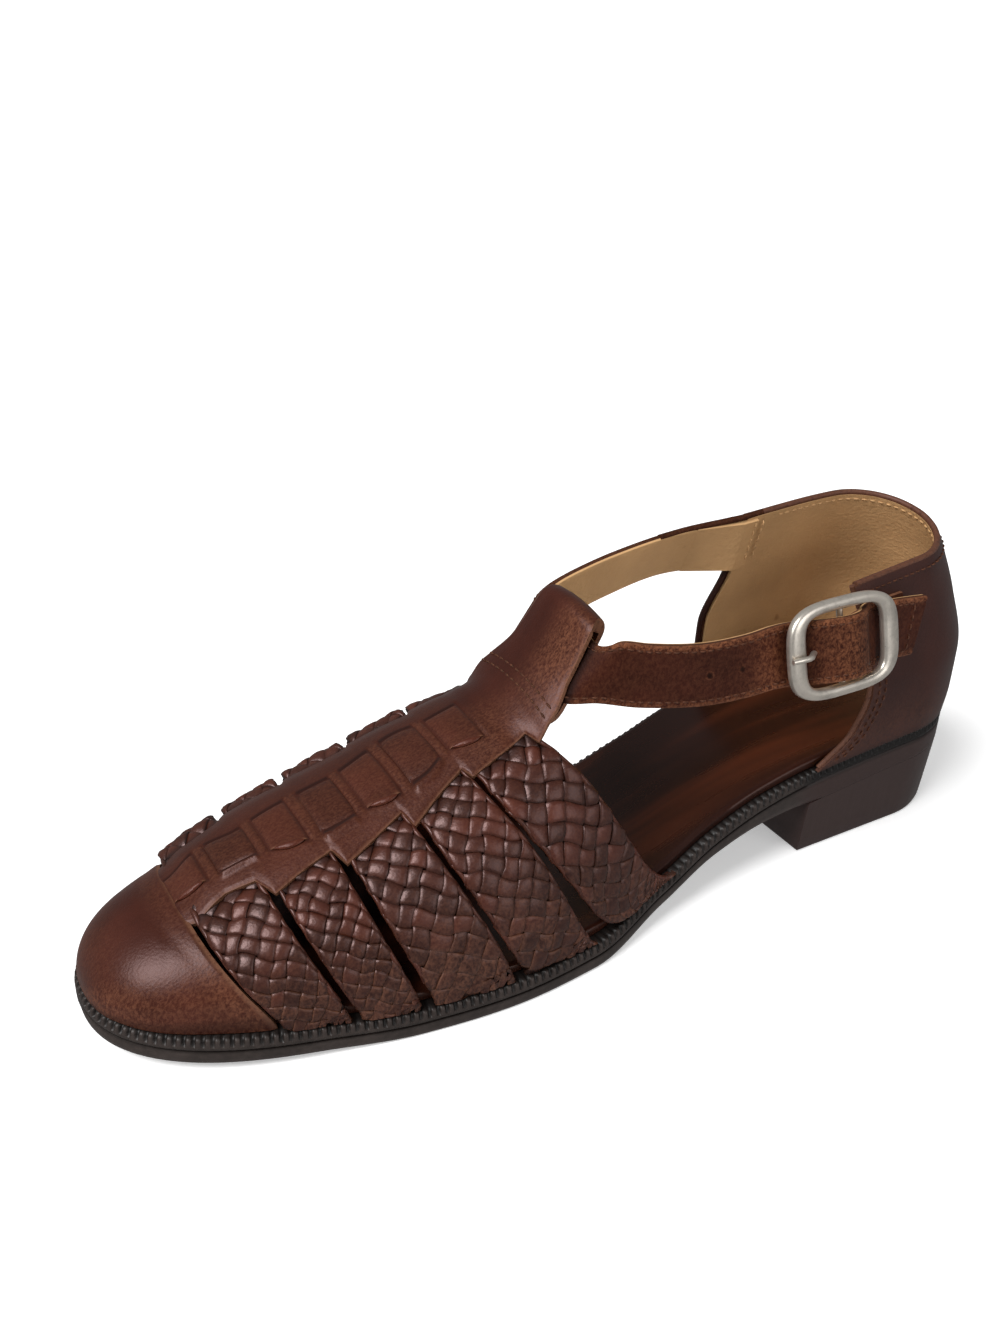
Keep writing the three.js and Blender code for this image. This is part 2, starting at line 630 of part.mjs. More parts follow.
const BUCKLE_X = 68.3;
const BUCKLE_Z = 71;
const BUCKLE_BACK = 32.8; // the frame's back face, out from the last's middle
const BUCKLE_THICKNESS = 3;
const BUCKLE_LEAN = 16; // degrees by which its top leans in to the ankle
const BUCKLE_OUTER = { along: 19, up: 13.2, square: 3.4 };
const BUCKLE_INNER = { along: 13.5, up: 10, square: 5.2 };
const BUCKLE_SHOULDER = 0.6; // share of its thickness where its sides turn in to the crown
const BUCKLE_STEPS = 36;
const ROUND_SIDES = 8; // of the centre bar and the prong
const CENTRE_BAR_RADIUS = 0.9;
const CENTRE_BAR_LIFT = 0.2; // its middle over the frame's back face
const CENTRE_BAR_Y = BUCKLE_BACK + CENTRE_BAR_LIFT;
const CHAPE_THICKNESS = 1;
const CHAPE_HALF = 6.6; // half its width
const CHAPE_SLOT = 2.4; // half the slot that the prong turns in
const CHAPE_JOIN = 0.6; // overlap where its two legs become one
const CHAPE_SEAT = [39, 44, 49]; // stations where it lies on the counter
const CHAPE_TURNS = [-110, -70, -30, 10, 50, 90, 130, 170, 205]; // degrees round the centre bar
const PRONG_RADIUS = 0.8;
const PRONG_CLEARANCE = 0.35; // round the prong in the strap's hole
const PRONG_TURNS = [205, 235, 270, 305]; // degrees of its hook round the centre bar

// The prong after its hook: way ahead and out from the centre bar, and then on the frame's front bar.
const PRONG_RISE = [
  { ahead: 5.5, out: -1 },
  { ahead: 10.5, out: 1.2 },
];
const PRONG_SEAT = [
  { ahead: -2.5, out: 0 },
  { ahead: 0, out: 0.2 },
  { ahead: 3.4, out: -0.2 },
];

const BUCKLE_TURN = new THREE.Quaternion().setFromAxisAngle(
  new THREE.Vector3(1, 0, 0),
  THREE.MathUtils.degToRad(BUCKLE_LEAN),
);
const BUCKLE_UP = new THREE.Vector3(0, 0, 1).applyQuaternion(BUCKLE_TURN);

// Turns a point of the upright buckle to its lean.
function leaned(point) {
  const pivot = new THREE.Vector3(point.x, BUCKLE_BACK, BUCKLE_Z);
  return point.sub(pivot).applyQuaternion(BUCKLE_TURN).add(pivot);
}

// The strap inside the buckle: way ahead of the centre bar and out from the frame's back face.
function inBuckle(ahead, out) {
  const { x, y, z } = leaned(new THREE.Vector3(BUCKLE_X + ahead, BUCKLE_BACK + out, BUCKLE_Z));
  return { x, y, z, forward: 0, out: BUCKLE_UP.y };
}

// A row for each turn of the strap, from the counter's inner side round the front to its tip:
// middle of the strap, and how far its upper edge leans forward and outward.
const STRAP = [
  { x: 61.8, y: -23.6, z: 77.4, forward: 0, out: 0.26 },
  { x: 84, y: -24.4, z: 77.4, forward: 0, out: 0.42 },
  { x: 104, y: -22.4, z: 75.8, forward: -0.05, out: 0.36 },
  { x: 117, y: -21.2, z: 73.5, forward: -0.14, out: 0.28 },
  { x: 129, y: -18.8, z: 71.4, forward: -0.36, out: 0.14 },
  inTunnel(-13),
  inTunnel(-5),
  inTunnel(5),
  inTunnel(15),
  { x: 132.6, y: 19.6, z: 72, forward: -0.36, out: 0.02 },
  { x: 124.5, y: 23.6, z: 71, forward: -0.12, out: -0.04 },
  { x: 109.5, y: 27.4, z: 69.5, forward: 0, out: -0.1 },
  { x: 97, y: 29, z: 69.6, forward: 0, out: -0.14 },
  { x: BUCKLE_X + 20, y: 29.7, z: BUCKLE_Z - 0.6, forward: 0, out: -0.2 },
  inBuckle(13.5, -2.6),
  inBuckle(7.8, 1.6),
  inBuckle(0, 4.2),
  inBuckle(-5.6, 2.8),
  inBuckle(-9, -0.15),
  inBuckle(-13.5, -2.1),
  { x: BUCKLE_X - 20, y: 30, z: BUCKLE_Z - 1.4, forward: 0, out: -0.15 },
  { x: 36, y: 29.2, z: BUCKLE_Z - 3, forward: -0.25, out: -0.12 },
];
const STRAP_STEPS = 56;

const strapMiddle = new THREE.CatmullRomCurve3(
  STRAP.map((row) => new THREE.Vector3(row.x, row.y, row.z)),
);
const strapUpright = new THREE.CatmullRomCurve3(
  STRAP.map((row) => new THREE.Vector3(row.forward, row.out, Math.sqrt(1 - row.forward ** 2 - row.out ** 2))),
);

// A point of the strap: share along it, way up across it from -1 to 1, and way out from its middle.
function strapPoint(share, up, lift) {
  const upright = strapUpright.getPoint(share).normalize();
  const along = strapMiddle.getTangent(share);
  const outward = upright.clone().cross(along).normalize().negate();
  return strapMiddle
    .getPoint(share)
    .addScaledVector(upright, (up * STRAP_WIDTH) / 2)
    .addScaledVector(outward, lift);
}

function ankleStrap() {
  const surface = (lift) => (i, j) => strapPoint(i / STRAP_STEPS, 1 - 2 * j, lift);
  const body = sheet(STRAP_STEPS, 1, surface(STRAP_THICKNESS / 2), surface(-STRAP_THICKNESS / 2));
  return filled(body.subtract(prong(PRONG_RADIUS + PRONG_CLEARANCE)));
}

// Buckle

// A point of the frame's outline: a rounded rectangle as a power curve.
function framePoint(outline, angle, y) {
  const power = (value) => Math.sign(value) * Math.abs(value) ** (2 / outline.square);
  const x = BUCKLE_X + outline.along * power(Math.cos(angle));
  return new THREE.Vector3(x, y, BUCKLE_Z + outline.up * power(Math.sin(angle)));
}

function roundBar(path, radius, across) {
  return bar(path.length - 1, (i) => {
    const before = path[Math.max(i - 1, 0)];
    const after = path[Math.min(i + 1, path.length - 1)];
    const side = after.clone().sub(before).normalize().cross(across);
    return Array.from({ length: ROUND_SIDES }, (_, k) => {
      const angle = (2 * Math.PI * k) / ROUND_SIDES;
      const away = side.clone().multiplyScalar(Math.cos(angle)).addScaledVector(across, Math.sin(angle));
      return path[i].clone().addScaledVector(away, radius);
    });
  });
}

function buckleFrame() {
  const frame = bar(
    BUCKLE_STEPS,
    (i) => {
      const angle = (2 * Math.PI * i) / BUCKLE_STEPS;
      const inner = (y) => framePoint(BUCKLE_INNER, angle, y);
      const outer = (y) => framePoint(BUCKLE_OUTER, angle, y);
      const shoulder = BUCKLE_BACK + BUCKLE_THICKNESS * BUCKLE_SHOULDER;
      const crown = inner(0).lerp(outer(0), 0.5).setY(BUCKLE_BACK + BUCKLE_THICKNESS);
      return [inner(BUCKLE_BACK), inner(shoulder), crown, outer(shoulder), outer(BUCKLE_BACK)].map(leaned);
    },
    true,
  );
  const reach = (BUCKLE_INNER.up + BUCKLE_OUTER.up) / 2;
  const end = (up) => leaned(new THREE.Vector3(BUCKLE_X, CENTRE_BAR_Y, BUCKLE_Z + up));
  return frame.add(roundBar([end(-reach), end(reach)], CENTRE_BAR_RADIUS, new THREE.Vector3(1, 0, 0)));
}

// A point round the centre bar: angle 0 is to the toe and a quarter turn is out from the shoe.
function roundCentreBar(angle, radius) {
  const x = BUCKLE_X + radius * Math.cos(angle);
  return new THREE.Vector3(x, CENTRE_BAR_Y + radius * Math.sin(angle), BUCKLE_Z);
}

// The prong hooks round the back of the centre bar, comes up through the strap and lies on the frame.
function prong(radius) {
  const hook = CENTRE_BAR_RADIUS + GAP + PRONG_RADIUS;
  const path = PRONG_TURNS.map((degrees) => roundCentreBar(THREE.MathUtils.degToRad(degrees), hook));
  const seat = BUCKLE_BACK + BUCKLE_THICKNESS + GAP + PRONG_RADIUS;
  const frontBar = BUCKLE_X + (BUCKLE_INNER.along + BUCKLE_OUTER.along) / 2;
  for (const { ahead, out } of PRONG_RISE) {
    path.push(new THREE.Vector3(BUCKLE_X + ahead, CENTRE_BAR_Y + out, BUCKLE_Z));
  }
  for (const { ahead, out } of PRONG_SEAT) {
    path.push(new THREE.Vector3(frontBar + ahead, seat + out, BUCKLE_Z));
  }
  return roundBar(path.map(leaned), radius, BUCKLE_UP);
}

// A point on the counter's outer side at a station and height.
function onCounter(x, z, lift) {
  const share = (z - featherHeight(x)) / (collarHeight(1) - featherHeight(x));
  const turn = Math.acos(1 - x / lateralFront(share)) / (Math.PI / 2);
  const point = counterPoint(turn, share, COUNTER_WALL + lift);
  return point.setZ(z);
}

// The chape lies on the counter and turns round the centre bar, on both sides of the prong.
function chape() {
  const middle = CENTRE_BAR_RADIUS + GAP + CHAPE_THICKNESS / 2;
  const strip = (low, high, rows) => {
    const surface = (half) => (i, j) => {
      const z = BUCKLE_Z + THREE.MathUtils.lerp(low, high, j);
      const seated = CHAPE_SEAT.length;
      if (i < seated) return onCounter(CHAPE_SEAT[i], z, GAP + CHAPE_THICKNESS / 2 + half);
      const angle = THREE.MathUtils.degToRad(CHAPE_TURNS[i - seated]);
      return leaned(roundCentreBar(angle, middle - half).setZ(z));
    };
    return sheet(rows, 1, surface(CHAPE_THICKNESS / 2), surface(-CHAPE_THICKNESS / 2));
  };
  const all = CHAPE_SEAT.length + CHAPE_TURNS.length - 1;
  const lower = strip(-CHAPE_HALF, -CHAPE_SLOT, all);
  const upper = strip(CHAPE_SLOT, CHAPE_HALF, all);
  const root = CHAPE_SLOT + CHAPE_JOIN;
  return filled(lower.add(upper).add(strip(-root, root, CHAPE_SEAT.length - 1)));
}

const group = new THREE.Group();
function tone(color, roughness, metalness = 0) {
  return new THREE.MeshStandardMaterial({ color, roughness, metalness });
}
group.add(mesh("outsole", outsole(), tone(0x1d1310, 0.6)));
group.add(mesh("welt", welt(), tone(0x1a100d, 0.6)));
group.add(mesh("heel", heel(), tone(0x2b1c16, 0.6)));
group.add(mesh("insole", insole(), tone(0x3a1812, 0.35)));
group.add(mesh("vamp", vamp(), tone(0x4a2418, 0.45)));
group.add(mesh("counter", counter(), tone(0x4a2418, 0.5)));
group.add(mesh("ankle_strap", ankleStrap(), tone(0x4a2418, 0.5)));
group.add(mesh("chape", chape(), tone(0x3a1c14, 0.6)));
group.add(mesh("buckle_frame", buckleFrame(), tone(0xb9b4aa, 0.35, 1)));
group.add(mesh("buckle_prong", prong(PRONG_RADIUS), tone(0xb9b4aa, 0.35, 1)));

// The origin is under the middle of the whole shoe.
const whole = new THREE.Box3().setFromObject(group);
const middle = whole.getCenter(new THREE.Vector3());
group.position.set(-middle.x, -middle.y, -whole.min.z);

export default group;
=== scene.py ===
"""Dressed model of a woven T-strap mary jane sandal, left foot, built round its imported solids.

Sizes are millimetres on the last: x from the heel to the toe, y to the outer side, z up.
They become metres in the shared frame when a piece is made.
"""
import math

import bpy
import numpy as np
from mathutils import Matrix, Vector


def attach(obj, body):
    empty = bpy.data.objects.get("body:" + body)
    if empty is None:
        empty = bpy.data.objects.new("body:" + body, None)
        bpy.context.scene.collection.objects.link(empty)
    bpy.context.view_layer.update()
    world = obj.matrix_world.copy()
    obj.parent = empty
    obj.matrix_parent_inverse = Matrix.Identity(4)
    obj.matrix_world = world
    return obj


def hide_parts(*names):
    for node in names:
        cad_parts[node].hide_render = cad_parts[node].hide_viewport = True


bl_info = {
    "name": "Woven Mary Jane Sandal",
    "version": (1, 0, 0),
    "blender": (4, 5, 0),
    "location": "View3D > Sidebar > Sandal",
    "description": "Builds a woven T-strap mary jane sandal, its finishes and a small studio",
    "category": "Add Mesh",
}

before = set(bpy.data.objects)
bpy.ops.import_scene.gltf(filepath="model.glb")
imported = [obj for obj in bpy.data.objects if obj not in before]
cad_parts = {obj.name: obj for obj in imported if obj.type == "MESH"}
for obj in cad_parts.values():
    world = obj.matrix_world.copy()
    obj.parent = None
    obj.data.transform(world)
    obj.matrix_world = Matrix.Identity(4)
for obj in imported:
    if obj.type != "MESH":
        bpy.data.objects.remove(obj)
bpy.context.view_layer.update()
BODY = "root"
HEEL_FROM_ORIGIN = np.array([131.12, 4.198, 0.0])  # the frame's origin seen from the last's heel
METRE = 0.001
SEED = 11


def table(names, *rows):
    """Rows of a short table, each with the column names that are given in one string."""
    return [dict(zip(names.split(), row)) for row in rows]


# The last and the sole

LAST_LENGTH = 261.0
HEEL_ROUND = 27.0
TOE_ROUND_START = 178.0
TOE_PLAN_POWER = 2.2
TOE_PLAN_ROOT = 0.42
TOE_PROFILE_POWER = 6
SIDE_FULLNESS = 0.86
GAP = 0.3
WELT_THICKNESS = 3.1
WELT_DEPTH = 11.0
HEEL_BREAST = 66.0
HEEL_TAPER = 1.5
INSOLE_THICKNESS = 2.4
INSOLE_CLEARANCE = 0.7

BOTTOM = table(
    "x lateral medial feather ground margin",
    (-4, 26.8, 26.4, 31.8, 22.6, 2.0),
    (30, 27.3, 26.6, 30.6, 21.0, 1.9),
    (66, 27.8, 24.0, 28.0, 17.8, 1.9),
    (82, 28.0, 21.6, 25.0, 16.4, 2.0),
    (100, 29.2, 20.0, 19.8, 12.6, 2.2),
    (120, 32.4, 21.0, 12.4, 5.4, 2.6),
    (146, 39.2, 28.8, 7.4, 0.0, 3.4),
    (170, 41.2, 32.8, 7.0, 0.0, 3.5),
    (195, 39.6, 32.8, 7.0, 0.0, 3.5),
    (220, 37.8, 30.8, 8.4, 1.4, 3.5),
    (246, 37.6, 30.2, 9.5, 2.3, 3.7),
    (266, 37.6, 30.2, 10.6, 3.4, 4.0),
)
RIDGE = table(
    "x rise across fall",
    (126, 82.4, -1.0, 1.9),
    (132, 72.0, -1.0, 1.8),
    (142, 58.6, -1.0, 1.5),
    (153, 50.6, -1.5, 1.1),
    (167, 45.4, -2.0, 0.9),
    (180, 40.6, -3.0, 0.84),
    (194, 35.6, -3.0, 0.84),
    (210, 30.4, -3.0, 0.84),
    (225, 25.2, -2.0, 0.84),
    (239, 20.4, -1.0, 0.84),
    (266, 15.2, 0.0, 0.84),
)

# The woven front

LEATHER = 1.9
BRAID_LIFT = 2.25
BRAID_MIDDLE = 2.0
TOE_SWELL = 1.3
SPINE_LIFT = 1.5
BAR_ROUND = 48.0
BAR_BLEND = (146.0, 155.0)
BAR_TOP = 130.6
SPINE_START = 241.5
SPINE_ROOT = 244.5
TUNNEL_TOP = 132.4
TUNNEL_FOOT = 145.0
TUNNEL_HALF = 2.2
TUNNEL_SEAT = 0.42
TUNNEL_BOW = 0.75
LOOP_FOOT = 151.0
LOOP_WIDTH = 0.86
LOOP_RUN = 5.0
SKIVE = 0.3
CAP_REAR_TOP = 239.8
CAP_REAR_FOOT = 227.8
CAP_CURVE = 2.4
BAND_TOP = 7.0
BAND_BEND = 2.4
BRAID_ROWS = 6
BRAID_EDGE = 2.92  # the fold at a band's edge, in rows from its middle
STRIP_WAYS = (-0.5, -0.5, -0.45, -0.28, 0, 0.28, 0.45, 0.5, 0.5)  # across a strip, its ends turned down

BANDS = table(
    "top_front top_rear foot_front inner_foot foot_rear rear_bend",
    (238.4, 222.2, 226.4, 226.4, 211.0, 2.4),
    (220.4, 205.4, 209.2, 209.2, 194.5, 2.4),
    (203.2, 187.0, 192.0, 192.0, 170.5, 1.95),
    (185.0, 170.4, 168.0, 168.0, 145.5, 1.75),
    (168.6, 155.0, 134.0, 143.0, 116.0, 1.2),
)
SPINE_EDGE = table(
    "x lateral medial",
    (128.0, 13.6, 7.2),
    (139.5, 15.4, 10.2),
    (144.0, 17.6, 12.6),
    (150.8, 19.2, 15.0),
    (152.6, 15.5, 13.0),
    (168.8, 19.0, 14.5),
    (170.2, 16.0, 12.0),
    (186.0, 22.8, 15.0),
    (187.2, 18.1, 12.5),
    (203.6, 22.3, 15.0),
    (205.4, 17.4, 12.5),
    (220.6, 19.5, 14.5),
    (223.3, 13.8, 12.0),
    (230.0, 11.9, 11.5),
    (238.2, 12.8, 12.5),
    (240.5, 11.5, 11.5),
    (246.0, 9.0, 9.0),
)
TILE_ROW = table(
    "x lateral medial",
    (150, 11.0, -3.4),
    (162, 11.2, -3.6),
    (170, 10.0, -3.8),
    (178, 13.2, -5.4),
    (186, 14.0, -4.6),
    (195, 12.6, -3.5),
    (203, 12.9, -3.8),
    (212, 11.6, -3.6),
    (221, 8.0, -3.2),
    (230, 6.4, -5.4),
    (240, 4.6, -4.6),
    (246, 4.6, -4.6),
)
TILE_MIDDLES = (236.3, 224.5, 213.0, 200.8, 189.2, 177.2, 165.6)  # raised and tucked by turns
TILE_LENGTH = 9.0

# Counter, strap and buckle

COUNTER_WALL = 2.4
COUNTER_BLEND = 1.5
COUNTER_RISE = table(
    "share lateral_front medial_front back side",
    (0.0, 65.0, 69.0, -0.4, 0.0),
    (0.15, 54.0, 66.5, 0.3, 0.4),
    (0.38, 49.0, 66.5, 0.2, 0.2),
    (0.7, 51.0, 61.5, -4.8, -2.8),
    (1.0, 57.0, 61.0, -12.0, -5.8),
)
COUNTER_TOP = table(
    "turn height",
    (-1.0, 86.0),
    (-0.5, 88.5),
    (0.0, 87.0),
    (0.5, 83.5),
    (1.0, 81.5),
)
STRAP_WIDTH = 17.0
STRAP_THICKNESS = 2.4
STRAP_LINING = 0.8
BUCKLE_X = 68.3
BUCKLE_Z = 71.0
BUCKLE_BACK = 32.8
BUCKLE_THICKNESS = 3.0
BUCKLE_OUTER = (19.0, 13.2, 3.4)
BUCKLE_INNER = (13.5, 10.0, 5.2)
CENTRE_BAR_RADIUS = 0.9
CENTRE_BAR_Y = BUCKLE_BACK + 0.2
CHAPE_THICKNESS = 1.0
CHAPE_HALF = 6.6
CHAPE_TOP = 5.7
CHAPE_SLOT = 2.4
PRONG_RADIUS = 0.8
BUCKLE_LEAN = math.radians(16)  # its top leans in to the ankle


# Curves through the tables


def column(rows, name, key="x"):
    """Smooth curve through one column of a table, with no overshoot between rows."""
    xs = np.array([row[key] for row in rows], float)
    ys = np.array([row[name] for row in rows], float)
    slopes = np.diff(ys) / np.diff(xs)
    before = np.concatenate([slopes[:1], slopes])
    after = np.concatenate([slopes, slopes[-1:]])
    agree = before * after > 0
    tangents = np.where(agree, 2 * before * after / np.where(agree, before + after, 1), 0)

    def curve(x):
        at = np.clip(x, xs[0], xs[-1])
        i = np.clip(np.searchsorted(xs, at) - 1, 0, len(xs) - 2)
        step = xs[i + 1] - xs[i]
        t = (at - xs[i]) / step
        rise = t * t * (3 - 2 * t)
        bend = t * (1 - t) ** 2 * step * tangents[i] - t * t * (1 - t) * step * tangents[i + 1]
        return ys[i] * (1 - rise) + ys[i + 1] * rise + bend

    return curve


def spline(points):
    """Smooth curve through points, with the share of the way running evenly from point to point."""
    points = np.asarray(points, float)
    before = np.vstack([2 * points[0] - points[1], points[:-1]])
    after = np.vstack([points[1:], 2 * points[-1] - points[-2]])

    def curve(share):
        place = np.clip(np.asarray(share, float), 0, 1) * (len(points) - 1)
        i = np.minimum(place.astype(int), len(points) - 2)
        t = (place - i)[..., None]
        p0, p1, p2, p3 = before[i], points[i], points[i + 1], after[i + 1]
        pairs = ((p0, p1), (p1, p2), (p2, p3))
        step = [np.sqrt(np.linalg.norm(end - start, axis=-1))[..., None] for start, end in pairs]
        step[1] = np.where(step[1] < 1e-4, 1.0, step[1])
        step = [np.where(part < 1e-4, step[1], part) for part in step]
        leave = (p1 - p0) / step[0] - (p2 - p0) / (step[0] + step[1]) + (p2 - p1) / step[1]
        arrive = (p2 - p1) / step[1] - (p3 - p1) / (step[1] + step[2]) + (p3 - p2) / step[2]
        leave, arrive = leave * step[1], arrive * step[1]
        cubic = 2 * p1 - 2 * p2 + leave + arrive
        square = -3 * p1 + 3 * p2 - 2 * leave - arrive
        return p1 + leave * t + square * t**2 + cubic * t**3

    return curve


def smooth(value, low, high):
    """Smooth step from 0 at low to 1 at high."""
    t = np.clip((np.asarray(value, float) - low) / (high - low), 0, 1)
    return t * t * (3 - 2 * t)


def blend(a, b, share):
    return a + (b - a) * share


def hump(value, middle, spread):
    """Soft bump of height 1."""
    return np.exp(-(((np.asarray(value, float) - middle) / spread) ** 2))


def unit(v):
    return v / np.maximum(np.linalg.norm(v, axis=-1, keepdims=True), 1e-9)


lateral_width = column(BOTTOM, "lateral")
medial_width = column(BOTTOM, "medial")
feather_height = column(BOTTOM, "feather")
ground_height = column(BOTTOM, "ground")
sole_margin = column(BOTTOM, "margin")
ridge_rise = column(RIDGE, "rise")
ridge_across = column(RIDGE, "across")
ridge_fall = column(RIDGE, "fall")
lateral_front = column(COUNTER_RISE, "lateral_front", "share")
medial_front = column(COUNTER_RISE, "medial_front", "share")
back_lean = column(COUNTER_RISE, "back", "share")
side_lean = column(COUNTER_RISE, "side", "share")
collar_height = column(COUNTER_TOP, "height", "turn")
tile_lateral = column(TILE_ROW, "lateral")
tile_medial = column(TILE_ROW, "medial")
SOLE_HEEL = -float(sole_margin(0))
SOLE_TOE = LAST_LENGTH + float(sole_margin(LAST_LENGTH))


# The last


def plan_round(x, grow=0.0):
    """Share of the full width that is left at a station."""
    heel = np.clip(1 - (x + grow) / (HEEL_ROUND + grow), 0, 1)
    toe = np.clip((x - TOE_ROUND_START) / (LAST_LENGTH - TOE_ROUND_START + grow), 0, 1)
    return np.sqrt(1 - heel**2) * (1 - toe**TOE_PLAN_POWER) ** TOE_PLAN_ROOT


def edge(x, side, grow=0.0):
    """The bottom's edge at a station, on the outer side (1) or the inner side (-1)."""
    width = np.where(np.asarray(side) > 0, lateral_width(x), medial_width(x)) + grow
    return side * width * plan_round(x, grow)


def last_point(x, angle):
    toe = np.clip((x - TOE_ROUND_START) / (LAST_LENGTH - TOE_ROUND_START), 0, 1)
    rise = ridge_rise(x) * np.sqrt(1 - toe**TOE_PROFILE_POWER)
    side = np.where(angle < math.pi / 2, 1, -1)
    ridge = ridge_across(x) * plan_round(x)
    reach = np.abs(np.cos(angle)) ** SIDE_FULLNESS
    climb = np.maximum(np.sin(angle), 0) ** ridge_fall(x)
    y = ridge + (edge(x, side) - ridge) * reach
    return np.stack(np.broadcast_arrays(x, y, feather_height(x) + GAP + rise * climb), -1)


def angle_across(x, y):
    """The angle at which a section of the last is a given way across."""
    ridge = ridge_across(x) * plan_round(x)
    side = np.where(y > ridge, 1, -1)
    reach = np.clip((y - ridge) / (edge(x, side) - ridge), 0, 1)
    turn = np.arccos(reach ** (1 / SIDE_FULLNESS))
    return np.where(side > 0, turn, math.pi - turn)


def skin(x, angle, lift):
    """A point lifted off the last along its normal."""
    turn, run = 0.02, 0.2
    at = np.clip(angle, turn, math.pi - turn)
    station = np.minimum(x, LAST_LENGTH - 0.4)
    along = last_point(station + run, at) - last_point(station - run, at)
    around = last_point(station, at + turn) - last_point(station, at - turn)
    normal = np.cross(around, along)
    normal[..., 1] *= np.asarray(x) < LAST_LENGTH - 0.001  # the two sides meet at the tip
    point = last_point(x, angle) + unit(normal) * np.asarray(lift, float)[..., None]
    point[..., 2] = np.maximum(point[..., 2], feather_height(x) + GAP)
    return point


def spine_reach(x, side=1):
    """Width of the spine from the ridge to its edge, which juts out over each gap between two bands."""
    x, side = np.broadcast_arrays(x, side)
    stations = [row["x"] for row in SPINE_EDGE]
    edges = [np.interp(x, stations, [row[name] for row in SPINE_EDGE]) for name in ("lateral", "medial")]
    return np.where(side > 0, *edges)


def bar_point(x, y, lift):
    """A point of the T-bar, a gently arched strap that follows the ridge."""
    run = 0.2

    def height(at):
        return feather_height(at) + GAP + ridge_rise(at)

    aside = y - ridge_across(x)
    slope = (height(x + run) - height(x - run)) / (2 * run)
    x, y, aside, slope = np.broadcast_arrays(x, y, aside, slope)
    normal = unit(np.stack([-slope, aside / BAR_ROUND, np.ones_like(slope)], -1))
    middle = np.stack([x, y, height(x) - aside**2 / (2 * BAR_ROUND)], -1)
    return middle + normal * np.asarray(lift, float)[..., None]


def spine_point(x, across, lift):
    y = ridge_across(x) + across * spine_reach(x, across)
    on_last = skin(x, angle_across(x, y), lift)
    return blend(bar_point(x, y, lift), on_last, smooth(x, *BAR_BLEND)[..., None])


def spine_top(x):
    """Height of the spine's upper face over the last."""
    raised = SPINE_LIFT * smooth(SPINE_START - x, 1.5, 9.5)
    rooted = 1.4 * smooth(x, SPINE_START - 1.5, SPINE_ROOT - 1)
    looped = (TUNNEL_HALF - SPINE_LIFT) * smooth(LOOP_FOOT - x, 0, LOOP_RUN)
    return LEATHER + (raised - rooted) + looped


def band_place(row, side, along, across):
    """Station and angle on the last of a place along and across a braided band."""
    front_foot = row["foot_front"] if side > 0 else row["inner_foot"]
    fallen = np.maximum(along, 0)
    front = blend(row["top_front"], front_foot, fallen**BAND_BEND)
    rear = blend(row["top_rear"], row["foot_rear"], fallen ** row["rear_bend"])
    x = blend(front, rear, across)
    top = angle_across(x, ridge_across(x) + side * BAND_TOP)
    return x, blend(top, 0.0 if side > 0 else math.pi, along)


def band_point(row, side, along, across):
    return skin(*band_place(row, side, along, across), BRAID_MIDDLE)


def square_lines(row, side, run, count=16):
    """Ways along a band on lines that cross it squarely, from its front edge to its rear edge."""
    nudge = 0.01

    def at_band(along, across):
        return band_point(row, side, along, across)

    lines = np.zeros((len(run), count + 1))
    lines[:, count // 2] = run
    for way in (1, -1):
        for j in range(count // 2):
            at = count // 2 + way * j
            along = lines[:, at]
            across = np.full_like(along, at / count)
            down = at_band(along + nudge, across) - at_band(along - nudge, across)
            over = at_band(along, across + nudge) - at_band(along, across - nudge)
            slope = -np.sum(down * over, axis=1) / np.sum(down**2, axis=1)
            lines[:, at + way] = along + way * slope / count
    return lines


def place_beside_spine(x, angle):
    """How far a place on the last lies out from the spine's edge, as seen from above."""
    aside = last_point(x, angle)[..., 1] - ridge_across(x)
    return np.abs(aside) - spine_reach(x, aside)


def counter_point(turn, share, lift):
    """A point of the counter: turn is 1 at the outer front edge, 0 at the back, -1 at the inner edge."""
    front = np.where(turn >= 0, lateral_front(share), medial_front(share))

    def along(t):
        x = front * (1 - np.cos(math.pi * t / 2))
        y = edge(x, np.where(t >= 0, 1, -1))
        return np.stack(np.broadcast_arrays(x, y, np.zeros_like(x)), -1)

    tangent = unit(along(turn + 0.01) - along(turn - 0.01))
    outward = np.stack([-tangent[..., 1], tangent[..., 0], np.zeros_like(tangent[..., 0])], -1)
    lean = blend(back_lean(share), side_lean(share), np.abs(turn) ** COUNTER_BLEND)
    point = along(turn) + outward * (lean + lift)[..., None]
    foot = feather_height(np.maximum(point[..., 0], 0)) + GAP
    point[..., 2] = blend(foot, collar_height(turn), share)
    return point


def in_tunnel(y):
    """The strap where it lies in the T-bar's tunnel, a given way across."""
    y = np.array(float(y))
    high = bar_point(np.array(TUNNEL_TOP), y, 0.0)
    low = bar_point(np.array(TUNNEL_FOOT), y, 0.0)
    upright = unit(high - low)
    middle = blend(high, low, TUNNEL_SEAT)
    return (middle[0], middle[1], middle[2] - TUNNEL_BOW, upright[0], upright[1])


def leaned(points):
    """Turn points of the upright buckle to its lean."""
    points = np.array(points, float)
    out, up = points[..., 1] - BUCKLE_BACK, points[..., 2] - BUCKLE_Z
    points[..., 1] = BUCKLE_BACK + out * math.cos(BUCKLE_LEAN) - up * math.sin(BUCKLE_LEAN)
    points[..., 2] = BUCKLE_Z + out * math.sin(BUCKLE_LEAN) + up * math.cos(BUCKLE_LEAN)
    return points


def in_buckle(ahead, out):
    """The strap inside the buckle: way ahead of the centre bar and out from the frame's back face."""
    return (*leaned((BUCKLE_X + ahead, BUCKLE_BACK + out, BUCKLE_Z)), 0.0, -math.sin(BUCKLE_LEAN))


